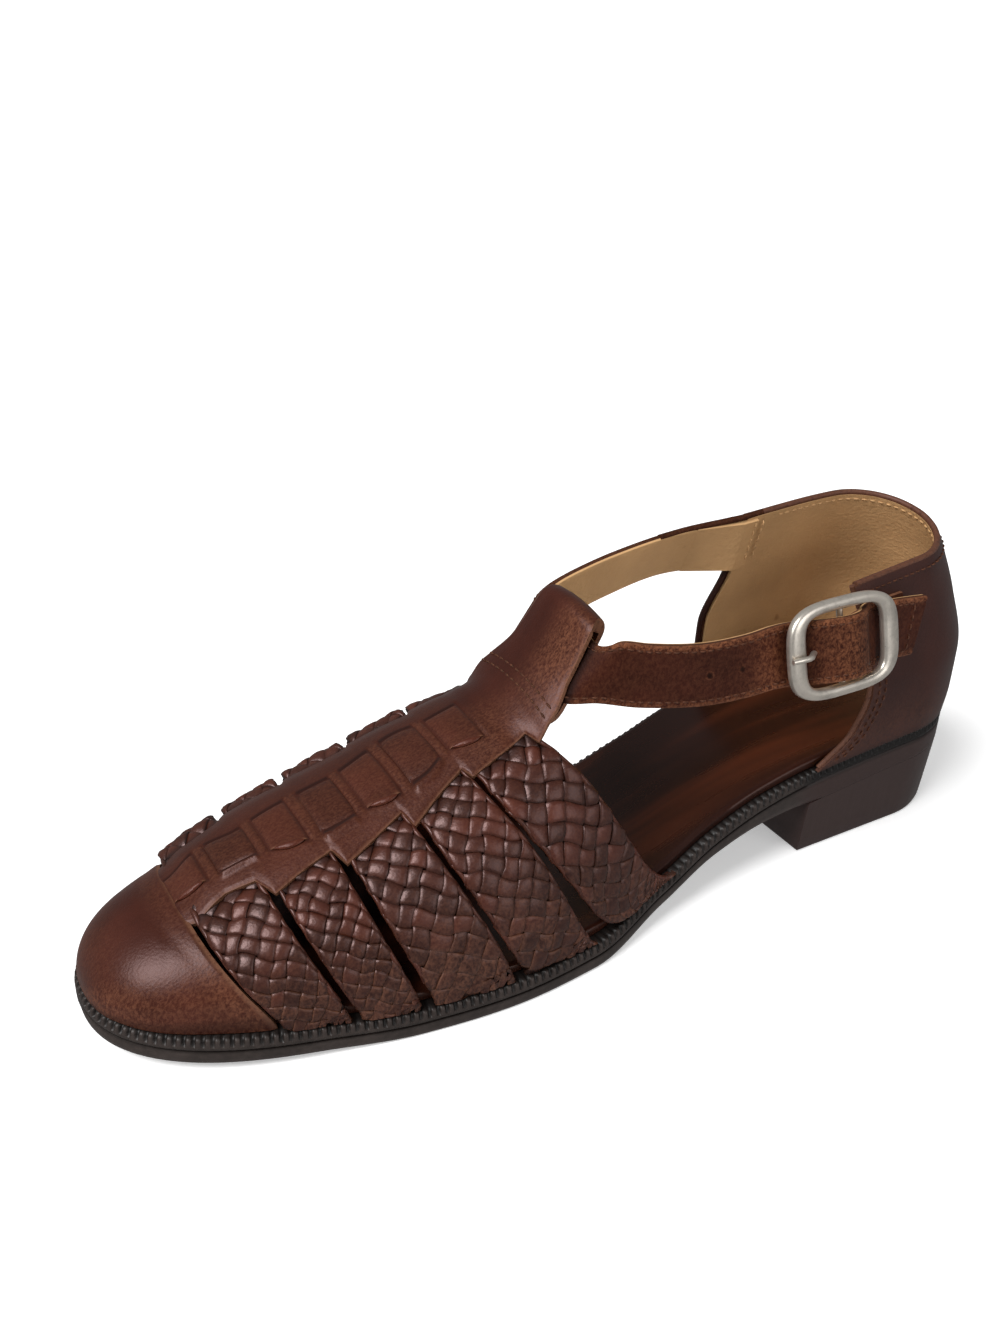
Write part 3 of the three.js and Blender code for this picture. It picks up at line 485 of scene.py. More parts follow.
STRAP = table(
    "x y z forward out",
    (61.8, -23.6, 77.4, 0.0, 0.26),
    (84.0, -24.4, 77.4, 0.0, 0.42),
    (104.0, -22.4, 75.8, -0.05, 0.36),
    (117.0, -21.2, 73.5, -0.14, 0.28),
    (129.0, -18.8, 71.4, -0.36, 0.14),
    in_tunnel(-13),
    in_tunnel(-5),
    in_tunnel(5),
    in_tunnel(15),
    (132.6, 19.6, 72.0, -0.36, 0.02),
    (124.5, 23.6, 71.0, -0.12, -0.04),
    (109.5, 27.4, 69.5, 0.0, -0.1),
    (97.0, 29.0, 69.6, 0.0, -0.14),
    (BUCKLE_X + 20, 29.7, BUCKLE_Z - 0.6, 0.0, -0.2),
    in_buckle(13.5, -2.6),
    in_buckle(7.8, 1.6),
    in_buckle(0, 4.2),
    in_buckle(-5.6, 2.8),
    in_buckle(-9, -0.15),
    in_buckle(-13.5, -2.1),
    (BUCKLE_X - 20, 30.0, BUCKLE_Z - 1.4, 0.0, -0.15),
    (36.0, 29.2, BUCKLE_Z - 3, -0.25, -0.12),
)
strap_middle = spline([(row["x"], row["y"], row["z"]) for row in STRAP])
strap_upright = spline(
    [(row["forward"], row["out"], math.sqrt(1 - row["forward"] ** 2 - row["out"] ** 2)) for row in STRAP]
)


def strap_point(share, up, lift):
    """A point of the strap: share along it, up from -1 to 1 across it, and lift out from its middle."""
    share = np.clip(share, 0, 1)
    upright = unit(strap_upright(share))
    along = strap_middle(share + 0.001) - strap_middle(share - 0.001)
    outward = -unit(np.cross(upright, along))
    width = np.asarray(up, float)[..., None] * STRAP_WIDTH / 2
    return strap_middle(share) + upright * width + outward * np.asarray(lift, float)[..., None]


def even_shares(curve, pitch, low=0.0, high=1.0):
    """Shares at which a curve has points an even pitch apart."""
    shares = np.linspace(low, high, 1500)
    points = curve(shares)
    lengths = np.concatenate([[0], np.cumsum(np.linalg.norm(np.diff(points, axis=0), axis=1))])
    count = max(int(lengths[-1] / pitch), 1)
    return np.interp(np.arange(count + 1) * lengths[-1] / count, lengths, shares)


# Meshes


class Skin:
    """Collects points, faces and marks of one piece.

    A mark has four numbers for a point: raw cut edge, wear, tone of its strip, and shade in a valley.
    """

    def __init__(self):
        self.points = []
        self.faces = []
        self.marks = []
        self.count = 0

    def add(self, points, faces, marks=None):
        points = np.asarray(points, float).reshape(-1, 3)
        if marks is None:
            marks = np.zeros((len(points), 4))
        self.points.append(points)
        self.marks.append(np.asarray(marks, float).reshape(-1, 4))
        self.faces.append(np.asarray(faces, int).reshape(-1, 4) + self.count)
        self.count += len(points)

    def grid(self, points, marks=None, loop=False, flip=False):
        """A grid of points as one face of a sheet."""
        rows, columns = points.shape[:2]
        number = np.arange(rows * columns).reshape(rows, columns)
        if loop:
            number = np.hstack([number, number[:, :1]])
        corners = [number[:-1, :-1], number[:-1, 1:], number[1:, 1:], number[1:, :-1]]
        faces = np.stack(corners, -1).reshape(-1, 4)
        self.add(points, faces[:, ::-1] if flip else faces, marks)

    def rim(self, outer, inner, mark):
        """The cut edge between two runs of points."""
        marks = np.zeros((2, len(outer), 4))
        marks[..., :] = mark
        self.grid(np.stack([outer, inner]), marks)

    def wall(self, outer, inner, marks=None, inner_marks=None, raw=1.0):
        """A sheet with its two faces and the cut edges round it."""
        self.grid(outer, marks)
        self.grid(inner, marks if inner_marks is None else inner_marks, flip=True)
        cut = np.array([raw, 0, 0.5, 0])
        for line in (np.s_[0], np.s_[-1], np.s_[:, 0], np.s_[:, -1]):
            self.rim(outer[line], inner[line], cut)


def to_frame(points):
    return (np.asarray(points) - HEEL_FROM_ORIGIN) * METRE


def make(context, name, made, finish, slot, *nodes, sharp=38.0):
    """Turns collected points and faces into a mesh piece that rides on the sandal's body."""
    mesh = bpy.data.meshes.new(name)
    mesh.from_pydata(to_frame(np.vstack(made.points)).tolist(), [], np.vstack(made.faces).tolist())
    mark = mesh.attributes.new("mark", "FLOAT_COLOR", "POINT")
    mark.data.foreach_set("color", np.vstack(made.marks).astype(np.float32).ravel())
    mesh.validate()
    mesh.shade_smooth()
    mesh.set_sharp_from_angle(angle=math.radians(sharp))
    mesh.materials.append(FINISHES[finish])
    piece = bpy.data.objects.new(name, mesh)
    context.scene.collection.objects.link(piece)
    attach(piece, BODY)
    if nodes:
        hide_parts(*nodes)


def marks_like(points, raw=0.0, wear=0.0, tone=0.5, shade=0.0):
    """Marks for an array of points, each part from one value or an array of them."""
    shape = points.shape[:-1]
    parts = (raw, wear, tone, shade)
    return np.stack([np.broadcast_to(np.asarray(part, float), shape) for part in parts], -1)


def rod(made, path, radius, sides=10, flat=1.0, across=None, mark=(0, 0, 0.5, 0)):
    """A round bar along a path, closed at its ends by shrinking to a point."""
    path = np.asarray(path, float)
    radii = np.broadcast_to(np.asarray(radius, float), len(path))
    tangent = unit(np.gradient(path, axis=0))
    guide = np.array([0.0, 0.0, 1.0]) if across is None else np.asarray(across, float)
    side = unit(np.cross(tangent, guide))
    other = unit(np.cross(side, tangent))
    turn = np.linspace(0, 2 * math.pi, sides, endpoint=False)
    ring = np.cos(turn)[None, :, None] * side[:, None] + flat * np.sin(turn)[None, :, None] * other[:, None]
    points = path[:, None] + ring * radii[:, None, None]
    points = np.concatenate([path[:1, None].repeat(sides, 1), points, path[-1:, None].repeat(sides, 1)])
    made.grid(points, marks_like(points, *mark), loop=True)


def stitches(made, line, outward, pitch, radius=0.28, filled=0.74):
    """A row of sewn stitches along a line of points that lies on a surface."""
    lengths = np.concatenate([[0], np.cumsum(np.linalg.norm(np.diff(line, axis=0), axis=1))])
    count = max(int(lengths[-1] / pitch), 1)
    step = lengths[-1] / count

    def at(distance, values):
        return np.stack([np.interp(distance, lengths, values[:, k]) for k in range(3)], -1)

    for i in range(count):
        share = np.linspace(-0.5, 0.5, 5)
        distance = (i + 0.5) * step + share * step * filled
        arch = radius * (0.55 - 5.2 * share**2)
        path = at(distance, line) + unit(at(distance, outward)) * arch[:, None]
        thick = radius * np.sqrt(np.maximum(1 - (1.7 * share) ** 2, 0.12))
        rod(made, path, thick, sides=6, across=at(distance, outward)[2])


def seam(made, surface, lift, under, pitch):
    """A row of stitches on a surface, which gives a line of points for a lift off it."""
    line = surface(lift)
    stitches(made, line, line - surface(under), pitch)


# Finishes


def shader_nodes(name):
    """A new material with its tree and its main shader."""
    material = bpy.data.materials.new(name)
    material.use_nodes = True
    tree = material.node_tree
    return material, tree, tree.nodes["Principled BSDF"]


def fill(tree, made, inputs):
    """Sets a node's inputs from values or from sockets of other nodes."""
    for key, value in inputs.items():
        if isinstance(value, bpy.types.NodeSocket):
            tree.links.new(value, made.inputs[key])
        else:
            made.inputs[key].default_value = value


def node(tree, kind, inputs=None, **settings):
    """A node with its settings and its inputs."""
    made = tree.nodes.new(kind)
    for key, value in settings.items():
        setattr(made, key, value)
    fill(tree, made, inputs or {})
    return made


def mix(tree, share, first, second):
    """Colour mixed from two others, each a socket or plain red, green and blue."""
    sockets = bpy.types.NodeSocket
    first, second = (v if isinstance(v, sockets) else (*v[:3], 1) for v in (first, second))
    return node(tree, "ShaderNodeMix", {0: share, 6: first, 7: second}, data_type="RGBA").outputs[2]


def sums(tree, kind, first, second, clamp=False):
    made = node(tree, "ShaderNodeMath", {0: first, 1: second}, operation=kind, use_clamp=clamp)
    return made.outputs[0]


def scaled(tree, value, factor, base=None):
    """A value times a factor, on top of a base if one is given."""
    product = sums(tree, "MULTIPLY", value, factor)
    return product if base is None else sums(tree, "ADD", product, base)


def ramp(tree, value, low, high):
    """Value mapped to 0 at low and 1 at high."""
    inputs = {0: value, 1: low, 2: high, 3: 0.0, 4: 1.0}
    return node(tree, "ShaderNodeMapRange", inputs, interpolation_type="SMOOTHSTEP").outputs[0]


def noise(tree, scale, detail=4.0, rough=0.55, stretch=(1, 1, 1), distortion=0.0):
    place = node(tree, "ShaderNodeTexCoord").outputs["Object"]
    moved = node(tree, "ShaderNodeMapping", {"Vector": place, "Scale": stretch}).outputs[0]
    inputs = {"Vector": moved, "Scale": scale, "Detail": detail}
    inputs.update({"Roughness": rough, "Distortion": distortion})
    return node(tree, "ShaderNodeTexNoise", inputs).outputs[0]


def pores(tree, scale):
    place = node(tree, "ShaderNodeTexCoord").outputs["Object"]
    return node(tree, "ShaderNodeTexVoronoi", {"Vector": place, "Scale": scale}).outputs[0]


def mark_parts(tree):
    """The four marks of a point as sockets: raw edge, wear, tone and shade."""
    marks = node(tree, "ShaderNodeAttribute", attribute_name="mark")
    parts = node(tree, "ShaderNodeSeparateColor", {0: marks.outputs["Color"]})
    return (*parts.outputs[:3], marks.outputs["Alpha"])


def tint(value, factor):
    return tuple(factor * part for part in value)


def bump(tree, shader, *layers):
    """Bumps of several heights, each with its strength and its depth in millimetres."""
    normal = None
    for height, strength, depth in layers:
        values = {"Height": height, "Strength": strength, "Distance": depth * METRE}
        if normal is not None:
            values["Normal"] = normal
        normal = node(tree, "ShaderNodeBump", values).outputs[0]
    tree.links.new(normal, shader.inputs["Normal"])


def leather(name, dark, light, raw, worn, gloss, grain, scuff, coat, specular):
    """Smooth leather: cloudy tone, raw edges, scuffs that follow the marks, painted shade from the shade
    mark, fine grain.
    """
    material, tree, shader = shader_nodes(name)
    raw_mark, wear_mark, tone_mark, shade_mark = mark_parts(tree)
    clouds = noise(tree, 55, 5, 0.6)
    fine = noise(tree, 900, 3, 0.6)
    scratches = noise(tree, 1100, 6, 0.75, (1.0, 1.6, 0.8), 0.4)
    tone = sums(tree, "ADD", scaled(tree, clouds, 0.75), scaled(tree, tone_mark, 0.5))
    colour = mix(tree, ramp(tree, tone, 0.35, 0.95), dark, light)
    rubbed = sums(tree, "MULTIPLY", wear_mark, ramp(tree, scratches, 0.36, 0.66), True)
    colour = mix(tree, scaled(tree, rubbed, scuff), colour, worn)
    colour = mix(tree, scaled(tree, ramp(tree, scratches, 0.66, 0.74), 0.22), colour, worn)
    cut = sums(tree, "MULTIPLY", raw_mark, ramp(tree, fine, 0.2, 0.55), True)
    colour = mix(tree, cut, colour, raw)
    # Painted shade: the shade mark darkens the colour in valleys, gaps and hidden places.
    colour = mix(tree, scaled(tree, shade_mark, 0.9), colour, tint(dark, 0.28))
    rough = scaled(tree, clouds, 0.16, gloss - 0.08)
    rough = sums(tree, "ADD", rough, scaled(tree, rubbed, 0.22), True)
    rough = sums(tree, "ADD", rough, scaled(tree, cut, 0.3), True)
    fill(tree, shader, {
        "Base Color": colour,
        "Roughness": rough,
        "Specular IOR Level": specular,
        "Specular Tint": (1.0, 0.72, 0.7, 1.0),
        "Coat Weight": coat,
        "Coat Roughness": 0.32,
    })
    pitted = pores(tree, 1500)
    bump(tree, shader, (pitted, grain, 0.09), (scratches, grain * 0.8, 0.12), (clouds, 0.25, 0.5))
    return material


def lining_leather(name, dark, light, stain):
    """Tan lining with faint spots, stains that follow the marks, painted shade from the shade mark, and a
    wrinkled nap.
    """
    material, tree, shader = shader_nodes(name)
    stain_mark, shade_mark = mark_parts(tree)[1::2]
    clouds = noise(tree, 45, 6, 0.55)
    spots = noise(tree, 110, 2, 0.4)
    wrinkles = noise(tree, 330, 5, 0.7, (1.0, 1.0, 2.4), 0.8)
    colour = mix(tree, ramp(tree, clouds, 0.2, 0.8), dark, light)
    colour = mix(tree, scaled(tree, ramp(tree, spots, 0.74, 0.8), 0.6), colour, stain)
    colour = mix(tree, scaled(tree, stain_mark, 0.8), colour, stain)
    # Painted shade: the shade mark darkens the lining where shade falls.
    colour = mix(tree, scaled(tree, shade_mark, 0.85), colour, tint(dark, 0.3))
    fill(tree, shader, {"Base Color": colour, "Roughness": 0.62, "Specular IOR Level": 0.1})
    bump(tree, shader, (wrinkles, 0.7, 0.3), (pores(tree, 900), 0.5, 0.2))
    return material


def foot_bed(name, dark, light):
    """Polished foot bed with long streaks from heel to toe."""
    material, tree, shader = shader_nodes(name)
    streaks = noise(tree, 60, 3, 0.5, (0.12, 1.4, 0.3), 0.3)
    fine = noise(tree, 160, 3, 0.5, (0.1, 1.6, 0.4))
    colour = mix(tree, ramp(tree, streaks, 0.42, 0.72), dark, light)
    colour = mix(tree, scaled(tree, ramp(tree, fine, 0.5, 0.9), 0.25), colour, tint(dark, 0.4))
    fill(tree, shader, {
        "Base Color": colour,
        "Roughness": scaled(tree, fine, 0.18, 0.2),
        "Specular IOR Level": 0.3,
        "Specular Tint": (1.0, 0.72, 0.65, 1.0),
        "Coat Weight": 0.1,
        "Coat Roughness": 0.2,
    })
    bump(tree, shader, (streaks, 0.12, 0.4))
    return material


def sole_finish(name, dark, light, heel, grain, rough=0.45, stretch=(1, 1, 1)):
    """Waxed edge of the sole. The raw mark is the share of the heel's own colour. The shade mark darkens it
    as painted shade.
    """
    material, tree, shader = shader_nodes(name)
    heel_mark, wear_mark, _, shade_mark = mark_parts(tree)
    clouds = noise(tree, 80, 5, 0.65)
    fibres = noise(tree, grain, 5, 0.65, stretch)
    tone = sums(tree, "ADD", scaled(tree, clouds, 0.6), scaled(tree, fibres, 0.5))
    colour = mix(tree, ramp(tree, tone, 0.4, 0.8), dark, light)
    colour = mix(tree, heel_mark, colour, heel)
    colour = mix(tree, scaled(tree, wear_mark, 0.6), colour, tint(light, 1.9))
    # Painted shade from the shade mark.
    colour = mix(tree, shade_mark, colour, tint(dark, 0.25))
    roughness = scaled(tree, fibres, 0.2, rough - 0.1)
    fill(tree, shader, {"Base Color": colour, "Roughness": roughness, "Specular IOR Level": 0.3})
    bump(tree, shader, (fibres, 0.3, 0.15), (clouds, 0.15, 0.3))
    return material


def worn_nickel(name, bright, dull):
    material, tree, shader = shader_nodes(name)
    clouds = noise(tree, 120, 5, 0.7)
    specks = noise(tree, 900, 3, 0.6)
    colour = mix(tree, ramp(tree, clouds, 0.4, 0.75), bright, dull)
    colour = mix(tree, ramp(tree, specks, 0.68, 0.8), colour, tint(dull, 0.35))
    roughness = scaled(tree, clouds, 0.25, 0.2)
    fill(tree, shader, {"Base Color": colour, "Roughness": roughness, "Metallic": 0.85})
    bump(tree, shader, (specks, 0.12, 0.05), (clouds, 0.1, 0.2))
    return material


def waxed_thread(name, dark, light):
    material, tree, shader = shader_nodes(name)
    twist = noise(tree, 1500, 2, 0.5)
    colour = mix(tree, ramp(tree, twist, 0.35, 0.7), dark, light)
    fill(tree, shader, {"Base Color": colour, "Roughness": 0.6, "Specular IOR Level": 0.15})
    bump(tree, shader, (twist, 0.4, 0.1))
    return material


FINISHES = {}
LEATHERS = table(
    "key name dark light gloss grain scuff coat specular",
    ("cap", "smooth_leather", 0.5, 1.15, 0.34, 0.3, 0.5, 0.02, 0.3),
    ("braid", "braid_leather", 0.35, 1.25, 0.35, 0.35, 0.5, 0.0, 0.6),
    ("counter", "counter_leather", 0.42, 0.7, 0.42, 0.2, 0.5, 0.02, 0.5),
    ("strap", "strap_leather", 0.32, 0.78, 0.5, 0.4, 0.8, 0.0, 0.1),
)
LINING_STAIN = (0.25, 0.13, 0.05)


def prepare_finishes(colours):
    """Makes each finish once from the colours that the user can change."""
    main = tuple(colours.leather)
    lining = tuple(colours.lining)
    edges = tuple(colours.raw_edge), tuple(colours.worn)
    for row in LEATHERS:
        look = (row[part] for part in ("gloss", "grain", "scuff", "coat", "specular"))
        FINISHES[row["key"]] = leather(
            row["name"], tint(main, row["dark"]), tint(main, row["light"]), *edges, *look
        )
    sole, heel = colours.sole, colours.heel
    heel_edge = tint(heel, 1.05)
    upright_fibres = (1, 1, 0.16)
    FINISHES.update(
        lining=lining_leather("tan_lining", tint(lining, 0.85), tint(lining, 1.08), LINING_STAIN),
        foot_bed=foot_bed("foot_bed", tuple(colours.foot_bed), tuple(colours.foot_bed_streak)),
        sole=sole_finish("sole_edge", tint(sole, 0.8), tint(sole, 1.5), heel_edge, 600),
        heel=sole_finish(
            "heel_stack", tint(heel, 0.7), tint(heel, 1.4), heel_edge, 420, 0.42, upright_fibres
        ),
        nickel=worn_nickel("worn_nickel", tuple(colours.nickel), tint(colours.nickel, 0.6)),
        thread=waxed_thread("waxed_thread", tint(colours.thread, 0.7), tint(colours.thread, 1.5)),
        pale_thread=waxed_thread("pale_thread", tint(lining, 0.8), tint(lining, 1.0)),
    )


# Sole pieces

# The shade column is painted shade on the rings at the top of the outsole, next to the welt.
OUTSOLE_RINGS = table(
    "inset heel_inset level wear shade",
    (0.9, 0.5, 0.0, 0.0, 0.6),
    (0.15, 0.05, 0.06, 0.0, 0.5),
    (0.0, 0.0, 0.2, 0.0, 0.0),
    (0.05, 0.0, 0.6, 0.0, 0.0),
    (0.25, 0.0, 0.88, 0.4, 0.0),
    (0.9, 0.0, 0.985, 0.4, 0.0),
    (2.2, 0.05, 1.0, 0.2, 0.0),
)
HEEL_RINGS = table(
    "level inset front wear",
    (0.0, 0.02, 0.5, 0.0),
    (0.06, 0.0, 0.0, 0.0),
    (0.4, 0.0, 0.0, 0.0),
    (0.74, 0.0, 0.0, 0.0),
    (0.94, 0.05, 0.0, 0.2),
    (0.985, 0.3, 0.25, 0.4),
    (1.0, 1.0, 0.8, 0.3),
)
INSOLE_RINGS = table(
    "inset sunk",
    (1.6, 0.0),
    (0.6, 0.15),
    (0.1, 0.6),
    (0.0, 1.2),
    (0.0, INSOLE_THICKNESS),
)
# Way in from the edge, share of the height from below, and share of a groove's depth.
WELT_SECTION = table(
    "inset height groove",
    (0.25, 0.0, 0.0),
    (0.0, 0.12, 0.0),
    (0.0, 0.34, 0.0),
    (0.05, 0.42, 0.7),
    (0.15, 0.7, 1.0),
    (0.45, 0.93, 1.0),
    (1.1, 1.0, 0.75),
    (2.6, 1.0, 0.3),
    (WELT_DEPTH, 1.0, 0.0),
    (WELT_DEPTH, 0.0, 0.0),
)
RIB_POINTS = 12


def at_heel(x):
    """Share of the heel's own finish at a station of the sole."""
    return 1 - smooth(x, HEEL_BREAST - 3, HEEL_BREAST + 9)


def slab(rings, stations, spacing, caps=12):
    """A plate from rings of one outline. Each ring has its ends, its growth and its height."""
    made = Skin()
    share = spacing(np.arange(stations + 1) / stations)
    runs = []
    for ring in rings:
        x = blend(ring["low"], ring["high"], share)
        grow = ring["grow"](x)
        sides = [np.stack([x, edge(x, side, grow), ring["height"](x)], -1) for side in (1, -1)]
        runs.append(sides)
    loops = np.stack([np.concatenate([outer, inner[::-1]]) for outer, inner in runs])
    marks = marks_like(loops, raw=at_heel(loops[..., 0]))
    for k, ring in enumerate(rings):
        marks[k, :, 1] = ring.get("wear", 0.0) * (1 - marks[k, :, 0])
        marks[k, :, 3] = ring.get("shade", 0.0)
    made.grid(loops, marks, loop=True)
    for (outer, inner), flip in ((runs[0], True), (runs[-1], False)):
        across = np.linspace(0, 1, caps)[None, :, None]
        made.grid(blend(outer[:, None], inner[:, None], across), flip=flip)
    return made


def both_ends(share):
    return (1 - np.cos(math.pi * share)) / 2


def one_end(share):
    return 1 - np.cos(math.pi / 2 * share)


def welt_under(x):
    return feather_height(x) - WELT_THICKNESS


def sole_ring(inset, heel_inset, height, high, wear=0.0, shade=0.0):
    """One ring of a plate, set in from the sole's edge, by another measure at the heel."""

    def set_in(x):
        return blend(heel_inset, inset, smooth(x, HEEL_BREAST - 6, HEEL_BREAST + 6))

    return {
        "low": SOLE_HEEL + heel_inset,
        "high": high,
        "grow": lambda x: sole_margin(x) - set_in(x),
        "height": height,
        "wear": wear,
        "shade": shade,
    }


def sole_outline(pitch):
    """The sole's edge as a closed run of evenly spaced points."""
    x = blend(SOLE_HEEL, SOLE_TOE, both_ends(np.linspace(0, 1, 1200)))
    sides = [np.stack([x, edge(x, side, sole_margin(x)), np.zeros_like(x)], -1) for side in (1, -1)]
    line = np.concatenate([sides[0], sides[1][-2::-1]])
    lengths = np.concatenate([[0], np.cumsum(np.linalg.norm(np.diff(line, axis=0), axis=1))])
    count = int(round(lengths[-1] / pitch))
    at = np.arange(count) * lengths[-1] / count
    return np.stack([np.interp(at, lengths, line[:, k]) for k in range(3)], -1)


class SANDAL_OT_sole(bpy.types.Operator):
    """Build the outsole, the wheeled welt, the heel and the foot bed"""

    bl_idname = "sandal.sole"
    bl_label = "Sole"

    def execute(self, context):
        sizes = context.scene.sandal_sizes
        self.outsole(context)
        self.welt(context, sizes.rib_pitch / METRE, sizes.rib_depth / METRE)
        self.heel(context)
        self.insole(context)
        return {"FINISHED"}

    def outsole(self, context):
        def ring(row):
            return sole_ring(
                row["inset"],
                row["heel_inset"],
                lambda x: blend(welt_under(x) - GAP, ground_height(x), row["level"]),
                SOLE_TOE - row["inset"],
                row["wear"],
                row["shade"],
            )

        made = slab([ring(row) for row in OUTSOLE_RINGS], 180, both_ends)
        make(context, "outsole_edge", made, "sole", "sole_edge", "outsole", sharp=50)

    def welt(self, context, pitch, depth):
        run = sole_outline(pitch / RIB_POINTS)
        count = len(run)
        x = run[:, 0]
        along = unit(np.roll(run, -3, 0) - np.roll(run, 3, 0))
        inward = np.stack([along[:, 1], -along[:, 0], np.zeros(count)], -1)
        rib = np.arange(count) / RIB_POINTS
        turn = 2 * math.pi * np.arange(count) / RIB_POINTS
        rng = np.random.default_rng(SEED)
        ribs = count // RIB_POINTS + 2
        strength = np.interp(rib, np.arange(ribs), rng.uniform(0.75, 1.1, ribs))
        pressed = depth * strength * (0.5 + 0.5 * np.tanh(2.2 * np.cos(turn) - 0.5))
        pressed = pressed * blend(0.3, 1.0, smooth(x, 30, 85))
        rubbed = 0.3 * (1 - np.clip(pressed / depth, 0, 1)) * blend(0.2, 0.6, smooth(x, 60, 150))
        rings = []
        marks = []
        for inset, height, groove in (row.values() for row in WELT_SECTION):
            point = run + inward * (inset + pressed * groove)[:, None]
            base = welt_under(point[:, 0])
            point[:, 2] = base + WELT_THICKNESS * height - 0.45 * pressed * groove * (height > 0.9)
            rings.append(point)
            # Painted shade in the grooves between the ribs and on the welt's top face under the upper; the
            # welt is also a little darker all over and near black at the heel.
            shade = pressed / depth * groove + 0.2 + 0.6 * (inset > 1) + 0.85 * at_heel(x)
            wear = rubbed * (0.3 < height < 1)
            marks.append(marks_like(point, wear=wear, shade=np.clip(shade, 0, 1)))
        made = Skin()
        made.grid(np.stack(rings + rings[:1]), np.stack(marks + marks[:1]), loop=True)
        make(context, "wheeled_welt", made, "sole", "sole_edge", "welt", sharp=60)

    def heel(self, context):
        def ring(row):
            inset = HEEL_TAPER * row["level"] + row["inset"]
            return sole_ring(
                inset,
                inset,
                lambda x: (ground_height(x) - 0.02) * (1 - row["level"]),
                HEEL_BREAST - row["front"],
                row["wear"],
            )

        made = slab([ring(row) for row in HEEL_RINGS], 90, one_end)
        make(context, "stacked_heel", made, "heel", "heel_stack", "heel", sharp=35)

    def insole(self, context):
        def ring(row):
            inset = INSOLE_CLEARANCE + row["inset"]
            return {
                "low": inset,
                "high": LAST_LENGTH - INSOLE_CLEARANCE - row["inset"],
                "grow": lambda x: np.full_like(x, -inset),
                "height": lambda x: feather_height(x) + GAP + (INSOLE_THICKNESS - row["sunk"]),
            }

        made = slab([ring(row) for row in INSOLE_RINGS], 160, both_ends, 24)
        make(context, "foot_bed", made, "foot_bed", "insole_leather", "insole", sharp=40)


# Woven front


def cap_height(x, angle):
    """Soft creases, the swollen tip and the drawn-in feather line of the toe cap."""
    low = np.abs(np.cos(angle))
    crease = 0.18 * hump(x + 3 * np.sin(angle * 3), 243.5, 1.4) * (1 - low)
    crease = crease + 0.12 * hump(x - 4 * np.cos(angle * 2), 247.5, 1.1) * (1 - low)
    swollen = TOE_SWELL * smooth(x, 238, 259)
    drawn_in = 0.5 * smooth(low, 0.93, 1.0) * (1 - smooth(x, 256, 260.5))
    return swollen - crease - drawn_in


def tile_place(x, y):
    """Way from the middle of the spine's nearest tile along it and across it, and the tile's number."""
    middles = np.array(TILE_MIDDLES)
    number = np.argmin(np.abs(np.asarray(x)[..., None] - middles), axis=-1)
    along = (middles[number] - x) / (TILE_LENGTH / 2)
    lateral, medial = tile_lateral(x), tile_medial(x)
    across = (y - ridge_across(x) - (lateral + medial) / 2) / ((lateral - medial) / 2)
    return along, across, number


def spine_relief(x, y):
    """Height of the spine's skin over its plain face: a hollow for each tile and lips at its slits."""
    along, across, number = tile_place(x, y)
    body = smooth(1.12 - np.abs(along), 0.0, 0.3)
    tucked = (number % 2 == 1) * 1.0
    lip = hump(across, 1.14, 0.12) * body * (0.1 + 0.6 * tucked)
    hollow = 0.12 * smooth(1.0 - np.abs(across), -0.02, 0.1) * body
    aside = np.abs(y - ridge_across(x))
    inset = spine_reach(x, y - ridge_across(x)) - aside
    droop = 0.35 * (1 - smooth(inset, 0.0, 1.0)) + 0.3 * (1 - smooth(inset, 0.0, 5.0))
    pinch = hump(np.abs(along), 1.04, 0.07) * smooth(1.15 - np.abs(across), 0.0, 0.2)
    pinch = pinch * (x < 242) * (x > 160)
    return lip - hollow - droop - 0.35 * pinch


class BraidMap:
    """Places on a braided band, by periods along it and rows from its middle."""

    def __init__(self, row, side, rng):
        self.row = row
        self.side = side
        self.run = np.linspace(-0.06, 1.3, 330)
        self.squared = square_lines(row, side, self.run)
        self.steps = self.squared.shape[1] - 1
        middle_line = band_point(row, side, self.run, np.full_like(self.run, 0.5))
        front_line = band_point(row, side, self.squared[:, 0], np.zeros_like(self.run))
        over = band_point(row, side, self.squared[:, -1], np.ones_like(self.run)) - front_line
        period = 2 * np.linalg.norm(over, axis=1) / BRAID_ROWS
        paces = np.linalg.norm(np.diff(middle_line, axis=0), axis=1)
        self.periods = np.concatenate([[0], np.cumsum(paces / (period[1:] + period[:-1]) * 2)])
        self.count = int(self.periods[-1])
        self.phase = rng.uniform(0, 6, 4)

    def place(self, a, b):
        """Station, angle and way along of a place, which is a little uneven as if drawn by hand."""
        phase = self.phase
        middle = 1 - (b / BRAID_EDGE) ** 2
        b = b + 0.12 * middle * np.sin(1.9 * a + phase[0]) + 0.07 * middle * np.sin(3.7 * a + phase[1])
        slow, quick = 1.3 * b + 2.1 * a + phase[2], 2.9 * b - 1.2 * a + phase[3]
        a = a + 0.08 * np.sin(slow) + 0.04 * np.sin(quick)
        across = 0.5 + b / (2 * BRAID_EDGE) * 0.97
        i = np.interp(a, self.periods, np.arange(len(self.run)))
        j = across * self.steps
        low_i = np.minimum(i.astype(int), len(self.run) - 2)
        low_j = np.minimum(j.astype(int), self.steps - 1)
        near, far = (
            blend(self.squared[low_i, at], self.squared[low_i + 1, at], i - low_i)
            for at in (low_j, low_j + 1)
        )
        along = blend(near, far, j - low_j)
        return (*band_place(self.row, self.side, along, across), along)

    def along(self, a, b):
        return self.place(np.array(a), np.array(b))[2]


